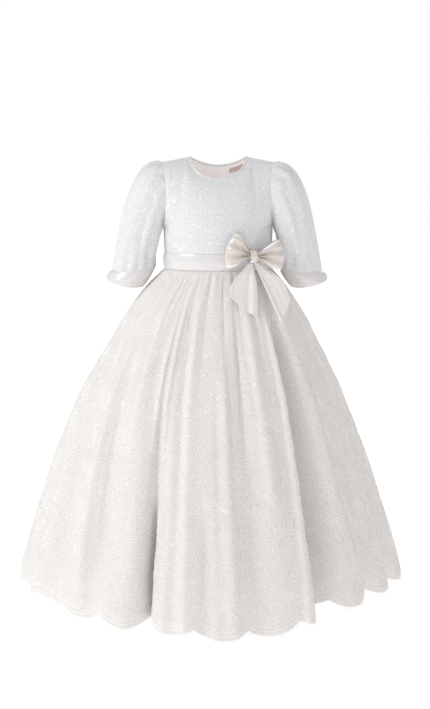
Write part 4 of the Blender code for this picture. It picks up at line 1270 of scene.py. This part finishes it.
class DRESS_OT_sleeves(bpy.types.Operator):
    """Puff sleeves: lace tubes with head pleats, long creases and gathers over the cuff."""

    bl_idname = "dress.sleeves"
    bl_label = "Puff sleeves"

    def execute(self, context):
        turn, fall = places(np.linspace(0.0, TURN, 150, endpoint=False), np.linspace(0.0, 1.0, 71))
        for name, side, spread, shift in (("sleeve_left", -1.0, LEFT_SPREAD, 0.0),
                                          ("sleeve_right", 1.0, 0.0, 0.35)):
            face = sleeve(turn, fall, spread)
            middle = face.mean(axis=1, keepdims=True)
            normal = grid_normals(face, True, middle)
            outer = face + sleeve_relief((turn + shift) % TURN, fall)[..., None] * normal
            normal = grid_normals(outer, True, middle)
            inner = outer - LACE_WALL * normal
            inner[-1, :, 2] = outer[-1, :, 2]
            mirror = np.array([side, 1.0, 1.0])
            piece = add_wall(name + "_lace", outer * mirror, inner * mirror, finish_for("bodice lace"),
                             finish_for("lining"), ring=True)
            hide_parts(name)
        return {"FINISHED"}


class DRESS_OT_cuffs(bpy.types.Operator):
    """Satin band cuffs, each a little dented."""

    bl_idname = "dress.cuffs"
    bl_label = "Satin cuffs"

    def execute(self, context):
        turn, fall = places(np.linspace(0.0, TURN, 120, endpoint=False), np.linspace(0.0, 1.0, 15))
        for name, side, spread in (("cuff_left", -1.0, LEFT_SPREAD), ("cuff_right", 1.0, 0.0)):
            top = cuff_ring(turn, CUFF_TOP_CENTRE, CUFF_TOP_HALF, CUFF_TOP_TILT, spread)
            low = cuff_ring(turn, CUFF_LOW_CENTRE, CUFF_LOW_HALF, CUFF_LOW_TILT, spread)
            face = top * (1.0 - fall[..., None]) + low * fall[..., None]
            normal = grid_normals(face, True, face.mean(axis=1, keepdims=True))
            swell = CUFF_SWELL * np.sin(math.pi * fall) ** 0.7
            dent = CUFF_DENT * np.sin(5.0 * turn + 2.0 * fall) * np.sin(math.pi * fall)
            face = face + (swell + dent)[..., None] * normal
            flat = unit(normal * np.array([1.0, 1.0, 0.0]))
            mirror = np.array([side, 1.0, 1.0])
            piece = add_wall(name + "_satin", face * mirror, (face - SATIN_WALL * flat) * mirror,
                             finish_for("cuff satin"), ring=True)
            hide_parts(name)
        return {"FINISHED"}


# columns: angle in degrees, height share of the crease's middle, half width in degrees,
# half height share, height
BAND_CREASES = (
    (22.0, 0.30, 9.0, 0.16, -0.0011),
    (20.0, 0.72, 12.0, 0.14, 0.0009),
    (62.0, 0.40, 9.0, 0.20, 0.0010),
    (-74.0, 0.55, 10.0, 0.22, -0.0009),
    (-40.0, 0.82, 18.0, 0.12, 0.0007),
    (105.0, 0.45, 14.0, 0.20, 0.0009),
    (-120.0, 0.60, 16.0, 0.18, 0.0009),
    (165.0, 0.35, 12.0, 0.18, -0.0008),
    (-165.0, 0.65, 12.0, 0.18, 0.0008),
)


class DRESS_OT_waistband(bpy.types.Operator):
    """Satin waistband: one strip round the waist, closed at the centre back."""

    bl_idname = "dress.waistband"
    bl_label = "Satin waistband"

    def execute(self, context):
        angle, fall = places(np.linspace(-math.pi, math.pi, 241), np.linspace(0.0, 1.0, 21))
        swell = BAND_SWELL * np.sin(math.pi * fall) ** 0.75
        for middle, level, half, tall, height in BAND_CREASES:
            away = around(angle - math.radians(middle))
            swell = swell + height * bell(away, math.radians(half)) * bell(fall - level, tall)
        radial = np.stack([np.sin(angle), -np.cos(angle), 0.0 * angle], axis=-1)
        outer = radial * np.array([BAND_HALF_WIDTH, BAND_HALF_DEPTH, 1.0]) + swell[..., None] * radial
        outer[..., 2] = BAND_TOP + (BAND_BOTTOM - BAND_TOP) * fall
        inner = outer - SATIN_WALL * radial
        for grid in (outer, inner):
            grid[:, 0, 0] = -HALF_SEAM
            grid[:, -1, 0] = HALF_SEAM
        piece = add_wall("waistband_satin", outer, inner, finish_for("band satin"))
        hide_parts("waistband")
        return {"FINISHED"}


SKIRT_PANELS = (
    ("overskirt_front", -QUARTER, QUARTER, ((1, -1.0),)),
    ("overskirt_back_left", -math.pi, -QUARTER, ((1, 1.0), (0, -1.0))),
    ("overskirt_back_right", QUARTER, math.pi, ((1, 1.0), (0, 1.0))),
)


class DRESS_OT_overskirt(bpy.types.Operator):
    """Sheer lace overskirt: gathered at the waist, folded, scalloped at the hem."""

    bl_idname = "dress.overskirt"
    bl_label = "Lace overskirt"

    def execute(self, context):
        falls = np.concatenate([np.linspace(0.0, 0.10, 15), np.linspace(0.10, 1.0, 72)[1:]])
        falls = falls * (1.0 - LASH_REACH / SKIRT_LENGTH)
        for name, low, high, seams in SKIRT_PANELS:
            piece = skirt_wall(name + "_lace", skirt_columns(low, high), falls, overskirt, LACE_WALL,
                               finish_for("skirt lace"), seams)
            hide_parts(name)
        return {"FINISHED"}


class DRESS_OT_underskirt(bpy.types.Operator):
    """Plain underskirt inside the lace, with a turned hem."""

    bl_idname = "dress.underskirt"
    bl_label = "Underskirt"

    def execute(self, context):
        falls = np.linspace(0.0, 1.0, 61)
        for name, low, sign in (("underskirt_front", -QUARTER, -1.0), ("underskirt_back", QUARTER, 1.0)):
            piece = skirt_wall(name + "_cloth", np.linspace(low, low + math.pi, 261), falls, underskirt,
                               THIN_WALL, finish_for("underskirt"), ((1, sign),))
            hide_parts(name)
        return {"FINISHED"}


def flower_places(chance):
    """Angle, fall, size and turn of every flower: even rows, each flower a little off its place."""
    angle = []
    fall = []
    size = []
    for down, count, first, scale in FLOWER_ROWS:
        even = np.radians(first) + np.arange(count) * TURN / count
        angle.append(even + chance.uniform(-ANGLE_OFF, ANGLE_OFF, count))
        fall.append(down + chance.uniform(-FLOWER_FALL_OFF, FLOWER_FALL_OFF, count))
        size.append(scale * chance.uniform(0.93, 1.05, count))
    middles = np.interp((np.arange(SCALLOPS) + 0.5 - SCALLOP_PHASE) / SCALLOPS % 1.0, HEM_SHARE, HEM_ANGLE)
    angle = np.concatenate(angle + [middles])
    fall = np.concatenate(fall + [np.full(SCALLOPS, HEM_FLOWERS_AT)])
    size = np.concatenate(size + [np.full(SCALLOPS, HEM_FLOWER_SIZE)])
    return around(angle), fall, size, chance.uniform(0.0, TURN, len(angle))


def spray_places(chance):
    """Angle, fall, size and turn of every leaf spray: between the flowers of each row."""
    angle = []
    fall = []
    size = []
    turn = []
    for down, count, first, scale in FLOWER_ROWS:
        middle = np.radians(first) + (np.arange(count) + 0.5) * TURN / count
        angle.append(middle + chance.uniform(-ANGLE_OFF, ANGLE_OFF, count))
        fall.append(down + chance.uniform(-SPRAY_FALL_OFF, SPRAY_FALL_OFF, count))
        size.append(scale * chance.uniform(0.85, 1.05, count))
        turn.append(np.where(np.arange(count) % 2 == 0, 0.45, -0.45) + chance.uniform(-0.2, 0.2, count))
    return around(np.concatenate(angle)), np.concatenate(fall), np.concatenate(size), np.concatenate(turn)


class DRESS_OT_skirt_flowers(bpy.types.Operator):
    """Raised cord flowers and leaf sprays on the overskirt."""

    bl_idname = "dress.skirt_flowers"
    bl_label = "Lace flowers and leaves"

    def execute(self, context):
        sizes = context.scene.dress_sizes
        chance = np.random.default_rng(SEED)
        angle, fall, size, turn = flower_places(chance)
        parts = []
        for lines, half in ((flower_lines(), 0.5), (flower_ribs(RIB_FROM, RIB_TO, RIBS, 2), 0.4),
                            (flower_ribs(PETAL_RIB_FROM, PETAL_RIB_TO, PETAL_RIBS, 4), 0.4)):
            u, v = lay_on_skirt(lines * sizes.flower_size, angle, fall, size, turn)
            parts.append(cord_strips(overskirt, u, v, half * sizes.flower_cord, sizes.cord_rise))
        piece = add_cords("skirt_flowers", parts)
        angle, fall, size, turn = spray_places(chance)
        parts = []
        for lines in (spray_stem(), spray_leaves()):
            u, v = lay_on_skirt(lines, angle, fall, size, turn)
            parts.append(cord_strips(overskirt, u, v, 0.5 * sizes.leaf_cord, sizes.cord_rise))
        piece = add_cords("skirt_leaves", parts)
        return {"FINISHED"}


# columns: distance of the cord above the lace's edge, half width
EDGE_CORDS = (
    (0.0006, 0.0014),
    (0.0085, 0.0011),
    (0.0165, 0.0010),
    (0.0215, 0.0009),
)
# loose cord ends: where they start above the edge, sideways reach as an angle, half width
LASH_ROOT = 0.0085
LASH_LEAN = 0.004
LASH_HALF = 0.00055
# short threads between the two upper cords
RUNG_FROM = 0.0165
RUNG_TO = 0.0215
RUNGS = 16
RUNG_HALF = 0.0006
THREAD_RISE = 0.0004
EDGE_POINTS = 32


class DRESS_OT_skirt_edge(bpy.types.Operator):
    """Scalloped edge: cords that follow it and a fringe of loose cord ends."""

    bl_idname = "dress.skirt_edge"
    bl_label = "Scalloped edge"

    def execute(self, context):
        sizes = context.scene.dress_sizes
        chance = np.random.default_rng(SEED + 1)
        angle = np.interp(np.linspace(0.0, 1.0, SCALLOPS * EDGE_POINTS + 1), HEM_SHARE, HEM_ANGLE)
        parts = []
        for above, half in EDGE_CORDS:
            fall = 1.0 - (LASH_REACH + above) / SKIRT_LENGTH + 0.0 * angle
            parts.append(cord_strips(overskirt, angle[None], fall[None], half, sizes.cord_rise))
        count = SCALLOPS * sizes.lashes
        share = (np.arange(count) + chance.uniform(0.2, 0.8, count)) / count
        root = np.interp(share, HEM_SHARE, HEM_ANGLE)
        lean = chance.uniform(-LASH_LEAN, LASH_LEAN, count)
        part = np.linspace(0.0, 1.0, 5)
        tip = LASH_REACH * chance.uniform(0.35, 1.0, count)
        fall = 1.0 - (LASH_REACH + LASH_ROOT - (LASH_ROOT + tip[:, None]) * part[None]) / SKIRT_LENGTH
        angle = root[:, None] + lean[:, None] * part[None] ** 2
        parts.append(cord_strips(overskirt, angle, fall, LASH_HALF, THREAD_RISE))
        root = np.interp((np.arange(SCALLOPS * RUNGS) + 0.5) / (SCALLOPS * RUNGS), HEM_SHARE, HEM_ANGLE)
        angle, above = np.broadcast_arrays(root[:, None], np.linspace(RUNG_FROM, RUNG_TO, 3)[None])
        fall = 1.0 - (LASH_REACH + above) / SKIRT_LENGTH
        parts.append(cord_strips(overskirt, angle, fall, RUNG_HALF, THREAD_RISE))
        piece = add_cords("skirt_edge_cords", parts)
        return {"FINISHED"}


def bow_axes(side, yaw, tilt):
    """Length, width and depth directions of one half of the bow."""
    turn = math.radians(yaw)
    lift = math.radians(tilt)
    flat = np.array([math.cos(turn), math.sin(turn), 0.0]) * side
    up = np.array([0.0, 0.0, 1.0])
    return (math.cos(lift) * flat + math.sin(lift) * up, math.cos(lift) * up - math.sin(lift) * flat,
            np.array([math.sin(turn), -math.cos(turn), 0.0]))


def loop_surface(path, width, side, yaw, tilt, middle_length, corner_length, half_height):
    """Ribbon loop: out from the knot on the front layer, round the end and back behind.

    Reach is a sine of the path, depth a swelled sine of twice the path, with creases that fan from the knot.
    """
    along, across, face = bow_axes(side, yaw, tilt)
    length = middle_length - (middle_length - corner_length) * width ** 2
    reach = np.sin(math.pi * path) ** 0.9
    front = np.where(path < 0.5, 1.0, 0.0)
    bulge = LOOP_BULGE_BACK + (LOOP_BULGE_FRONT - LOOP_BULGE_BACK) * front
    swing = np.sin(TURN * path)
    swing = np.sign(swing) * np.abs(swing) ** 1.7
    fan = smooth(0.0, 0.10, np.minimum(path, 1.0 - path)) * (1.0 - reach) ** 0.5
    crease = LOOP_CREASE * fan * np.cos(2.9 * math.pi * width + 0.5 * side)
    crease = crease + LOOP_EDGE_LIFT * smooth(0.5, 1.0, np.abs(width)) * smooth(0.3, 0.9, reach) * front
    depth = bulge * swing * (1.0 - 0.35 * width ** 2) + LOOP_APART * (1.0 - 2.0 * path) + crease
    half = LOOP_ROOT_HALF + (half_height - LOOP_ROOT_HALF) * smooth(0.0, 1.0, reach)
    out = LOOP_START + length * reach
    return (BOW_CENTRE + out[..., None] * along + (width * half)[..., None] * across
            + depth[..., None] * face)


def tail_surface(part, width, left_edge, right_edge):
    """Ribbon end: between its two edges in the front view, sloping out to clear the skirt."""
    knots = np.array([0.0, 0.45, 1.0])
    edges = [np.stack([curve(knots, edge[:, 0], part), curve(knots, edge[:, 1], part)], axis=-1)
             for edge in (np.array(left_edge), np.array(right_edge))]
    flat = edges[0] * (1.0 - width[..., None]) + edges[1] * width[..., None]
    x = flat[..., 0]
    z = flat[..., 1]
    plane = BOW_CENTRE[1] - TAIL_SLOPE * (TAIL_TOP - z) + TAIL_TURN * (x - BOW_CENTRE[0])
    half_width, half_depth, centre = skirt_section(np.minimum(z, SKIRT_TOP))
    inside = np.clip(1.0 - ((x - centre) / (half_width + TAIL_CLEAR)) ** 2, 0.0, 1.0)
    clear = -(half_depth + TAIL_CLEAR) * np.sqrt(inside)
    ripple = TAIL_RIPPLE * part * np.sin(math.pi * (1.6 * width + 0.2))
    return np.stack([x, np.minimum(plane, clear) - ripple, z], axis=-1)


# columns: place across the ribbon, height, half width, for the rolls down each tail
TAIL_ROLLS = {
    "bow_tail_left": ((0.84, 0.0030, 0.09), (0.66, -0.0014, 0.10), (0.05, 0.0014, 0.06)),
    "bow_tail_right": ((0.06, 0.0038, 0.10), (0.24, -0.0022, 0.09), (0.75, 0.0014, 0.14)),
}


class DRESS_OT_bow(bpy.types.Operator):
    """Satin bow: two loops, the knot strip and two tails."""

    bl_idname = "dress.bow"
    bl_label = "Satin bow"

    def execute(self, context):
        satin = finish_for("bow satin")
        for name, side, yaw, tilt, middle_length, corner_length, half_height in BOW_LOOPS:
            path, width = places(np.linspace(0.0, 1.0, 61), np.linspace(-1.0, 1.0, 33))
            outer = loop_surface(path, width, side, yaw, tilt, middle_length, corner_length, half_height)
            core = BOW_CENTRE + 0.5 * middle_length * bow_axes(side, yaw, tilt)[0]
            normal = grid_normals(outer, False, core)
            # faces off the rims take the darker satin, painted shade for the inside of each loop; the rims
            # keep the brighter bow satin
            rim = np.abs(width[1:, 1:] + width[:-1, :-1]) > 1.80
            rim = rim | ((path[1:, 1:] > 0.47) & (path[1:, 1:] < 0.62))
            piece = add_wall(name + "_satin", outer, outer - RIBBON_WALL * normal, satin,
                             finish_for("loop satin with painted shade"), marks=~rim)
            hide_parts(name)
        along, across, face = bow_axes(1.0, KNOT_YAW, 0.0)
        turn, place = places(np.linspace(0.0, TURN, 60, endpoint=False), np.linspace(-1.0, 1.0, 17))
        swell = 1.0 + KNOT_SWELL * np.cos(place * QUARTER)
        pleat = 0.0006 * np.cos(3.0 * math.pi * place) * (1.0 - place ** 2)
        outer = (BOW_CENTRE + (place * KNOT_HALF[0])[..., None] * along
                 + ((KNOT_HALF[1] * swell + pleat) * np.cos(turn))[..., None] * across
                 + ((KNOT_HALF[2] * swell + pleat) * np.sin(turn))[..., None] * face)
        core = BOW_CENTRE + (place * KNOT_HALF[0])[..., None] * along
        normal = grid_normals(outer, True, core)
        flat = unit(normal - np.sum(normal * along, axis=2, keepdims=True) * along)
        piece = add_wall("bow_knot_satin", outer, outer - KNOT_WALL * flat, satin, ring=True)
        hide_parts("bow_knot")
        for name, left_edge, right_edge in BOW_TAILS:
            part, width = places(np.linspace(0.0, 1.0, 49), np.linspace(0.0, 1.0, 33))
            face = tail_surface(part, width, left_edge, right_edge)
            normal = grid_normals(face, False, face * np.array([1.0, 0.0, 1.0]))
            roll = 0.0 * part
            for middle, height, half in TAIL_ROLLS[name]:
                roll = roll + height * bell(width - middle, half)
            outer = face + (roll * smooth(0.0, 0.25, part))[..., None] * normal
            normal = grid_normals(outer, False, face * np.array([1.0, 0.0, 1.0]))
            piece = add_wall(name + "_satin", outer, outer - RIBBON_WALL * normal, satin)
            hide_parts(name)
        return {"FINISHED"}


# Beads on the front of the knot, which curves back towards BEAD_REACH at each side
BEAD_REACH = 0.0155
BEAD_SIDES = 14
BEAD_RINGS = 9
# columns: across, up, share of full radius
PEARLS = (
    (0.0, 0.0005, 1.10),
    (-0.0048, 0.0020, 0.95),
    (0.0050, 0.0014, 0.95),
    (-0.0022, 0.0060, 0.95),
    (0.0030, 0.0058, 0.90),
    (-0.0030, -0.0042, 0.95),
    (0.0026, -0.0046, 0.95),
    (0.0002, -0.0090, 0.80),
    (-0.0088, -0.0014, 0.85),
    (0.0092, -0.0020, 0.85),
    (0.0004, 0.0102, 0.85),
    (-0.0074, 0.0058, 0.75),
    (0.0078, 0.0054, 0.80),
    (-0.0068, -0.0062, 0.75),
    (0.0066, -0.0070, 0.75),
    (-0.0118, 0.0022, 0.65),
    (0.0122, 0.0028, 0.70),
    (0.0112, 0.0078, 0.60),
    (-0.0034, 0.0112, 0.60),
)


class DRESS_OT_pearls(bpy.types.Operator):
    """Small cluster of beads sewn to the knot."""

    bl_idname = "dress.pearls"
    bl_label = "Beads on the knot"

    def execute(self, context):
        radius = context.scene.dress_sizes.pearl_radius
        along, across, face = bow_axes(1.0, KNOT_YAW, 0.0)
        rows = np.array(PEARLS)
        size = radius * rows[:, 2]
        full = 1.0 + KNOT_SWELL
        rise = np.sqrt(np.clip(1.0 - (rows[:, 1] / (KNOT_HALF[1] * full)) ** 2, 0.05, 1.0))
        depth = KNOT_HALF[2] * full * rise * np.sqrt(1.0 - (rows[:, 0] / BEAD_REACH) ** 2)
        middle = (BOW_CENTRE + rows[:, :1] * along + rows[:, 1:2] * across
                  + (depth + 0.6 * radius)[:, None] * face)
        turn, tilt = places(np.linspace(0.0, TURN, BEAD_SIDES, endpoint=False),
                            np.linspace(0.06, math.pi - 0.06, BEAD_RINGS))
        ball = np.stack([np.sin(tilt) * np.cos(turn), np.sin(tilt) * np.sin(turn), np.cos(tilt)], axis=-1)
        grid = middle[:, None, None] + size[:, None, None, None] * ball
        count = np.arange(grid[..., 0].size).reshape(grid.shape[:3])
        count = np.concatenate([count, count[:, :, :1]], axis=2)
        sides = quads(count[:, :-1, :-1], count[:, 1:, :-1], count[:, 1:, 1:], count[:, :-1, 1:])
        pole = size[:, None] * np.array([0.0, 0.0, 1.0])
        points = np.concatenate([grid.reshape(-1, 3), middle + pole, middle - pole])
        top = grid[..., 0].size + np.arange(len(rows))[:, None] + 0 * count[:, 0, :-1]
        foot = top + len(rows)
        caps = ((top, count[:, 0, :-1], count[:, 0, 1:]), (foot, count[:, -1, 1:], count[:, -1, :-1]))
        faces = sides.tolist()
        for corners in caps:
            faces += np.stack(corners, axis=-1).reshape(-1, 3).tolist()
        piece = add_piece("bow_pearls", points, faces, [finish_for("pearl")], sharp=180.0)
        return {"FINISHED"}


def studio_paper(stage, level):
    """Matt studio paper with a painted glow of its own, weaker near the dress, which darkens the floor round
    it.
    """
    finish, tree, shader, place = new_finish("Studio paper, matt and lit from below", {
        "Roughness": 0.9, "Specular IOR Level": 0.1, "Emission Color": WHITE})
    cloud = add_node(tree, "ShaderNodeTexNoise", {"Vector": place, "Scale": 1.0 / 0.8})
    shade = tuple(0.985 * part for part in stage.floor[:3]) + (1.0,)
    tone = add_node(tree, "ShaderNodeMix", {0: cloud.outputs["Fac"], 6: shade, 7: stage.floor},
                    data_type="RGBA")
    away = add_node(tree, "ShaderNodeVectorMath", {0: place, 1: (0.0, 0.0, level)}, operation="DISTANCE")
    # painted glow: weaker near the dress, full white farther off
    glow = add_node(tree, "ShaderNodeMapRange", {
        "Value": away.outputs["Value"], "From Min": GLOW_FROM, "From Max": GLOW_REACH,
        "To Min": stage.floor_painted_glow, "To Max": 1.0})
    feed(tree, shader, {"Base Color": tone.outputs[2], "Emission Strength": glow.outputs["Result"]})
    return finish


def light_from_all_round(scene, strength):
    """Soft light from the whole sky, which itself shows plain white."""
    world = bpy.data.worlds.new("soft studio")
    scene.world = world
    world.use_nodes = True
    sky = world.node_tree
    soft = sky.nodes["Background"]
    feed(sky, soft, {"Color": SKY_COLOUR, "Strength": strength})
    white = add_node(sky, "ShaderNodeBackground", {"Color": WHITE, "Strength": 1.0})
    seen = add_node(sky, "ShaderNodeLightPath").outputs["Is Camera Ray"]
    mixed = add_node(sky, "ShaderNodeMixShader", {0: seen, 1: soft.outputs[0], 2: white.outputs[0]})
    feed(sky, sky.nodes["World Output"], {"Surface": mixed.outputs[0]})


class DRESS_OT_stage(bpy.types.Operator):
    """Pale floor, soft studio light and the camera."""

    bl_idname = "dress.stage"
    bl_label = "Studio"

    def execute(self, context):
        stage = context.scene.dress_stage
        level = CAD_LOW[2] - FLOOR_DROP
        turn = np.linspace(0.0, TURN, 96, endpoint=False)
        rim = np.stack([FLOOR_RADIUS * np.cos(turn), FLOOR_RADIUS * np.sin(turn),
                        np.full(len(turn), level)], axis=-1)
        mesh = bpy.data.meshes.new("studio_floor")
        mesh.from_pydata(rim.tolist(), [], [list(range(len(turn)))])
        mesh.materials.append(studio_paper(stage, level))
        floor = bpy.data.objects.new("studio_floor", mesh)
        context.scene.collection.objects.link(floor)
        light_from_all_round(context.scene, stage.sky)
        for name, place, aim, size, colour in LIGHTS:
            lamp = bpy.data.lights.new(name + " light", "AREA")
            lamp.shape = "DISK"
            lamp.size = size
            lamp.energy = getattr(stage, name)
            lamp.color = colour
            item = bpy.data.objects.new(name + " light", lamp)
            item.location = place
            ahead = np.array(aim) - np.array(place)
            level_run = math.hypot(ahead[0], ahead[1])
            item.rotation_euler = (math.atan2(level_run, -ahead[2]), 0.0, math.atan2(-ahead[0], ahead[1]))
            context.scene.collection.objects.link(item)
        lens = bpy.data.cameras.new("camera")
        lens.lens = LENS_MM
        lens.sensor_width = SENSOR_MM
        lens.shift_y = LENS_SHIFT
        lens.clip_end = VIEW_END
        camera = bpy.data.objects.new("camera", lens)
        camera.location = (CAMERA_SIDE, -stage.camera_distance, CAMERA_LEVEL)
        camera.rotation_euler = (QUARTER, 0.0, 0.0)
        context.scene.collection.objects.link(camera)
        context.scene.camera = camera
        context.scene.view_settings.view_transform = "Standard"
        return {"FINISHED"}


class DRESS_PT_panel(bpy.types.Panel):
    """Lists the pieces of the dress with their sizes and colours."""

    bl_idname = "DRESS_PT_panel"
    bl_label = "Lace Dress"
    bl_space_type = "VIEW_3D"
    bl_region_type = "UI"
    bl_category = "Dress"

    def draw(self, context):
        layout = self.layout
        for operator in OPERATORS:
            layout.operator(operator.bl_idname)
        for title, group in (("Sizes", context.scene.dress_sizes), ("Colours", context.scene.dress_colours),
                             ("Studio", context.scene.dress_stage)):
            box = layout.box()
            box.label(text=title)
            for name in group.__annotations__:
                box.prop(group, name)


OPERATORS = (
    DRESS_OT_bodice,
    DRESS_OT_lining,
    DRESS_OT_neck_binding,
    DRESS_OT_sleeves,
    DRESS_OT_cuffs,
    DRESS_OT_waistband,
    DRESS_OT_overskirt,
    DRESS_OT_underskirt,
    DRESS_OT_skirt_flowers,
    DRESS_OT_skirt_edge,
    DRESS_OT_bow,
    DRESS_OT_pearls,
    DRESS_OT_stage,
)
GROUPS = (DressColours, DressSizes, StageSettings)


def register():
    """Register the classes and hang the settings on the scene."""
    for group in GROUPS + OPERATORS + (DRESS_PT_panel,):
        bpy.utils.register_class(group)
    bpy.types.Scene.dress_colours = PointerProperty(type=DressColours)
    bpy.types.Scene.dress_sizes = PointerProperty(type=DressSizes)
    bpy.types.Scene.dress_stage = PointerProperty(type=StageSettings)


def unregister():
    """Undo register."""
    for name in ("dress_colours", "dress_sizes", "dress_stage"):
        delattr(bpy.types.Scene, name)
    for group in reversed(GROUPS + OPERATORS + (DRESS_PT_panel,)):
        bpy.utils.unregister_class(group)


def main():
    """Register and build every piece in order."""
    register()
    for operator in OPERATORS:
        group, name = operator.bl_idname.split(".")
        getattr(getattr(bpy.ops, group), name)()


if __name__ == "__main__":
    main()
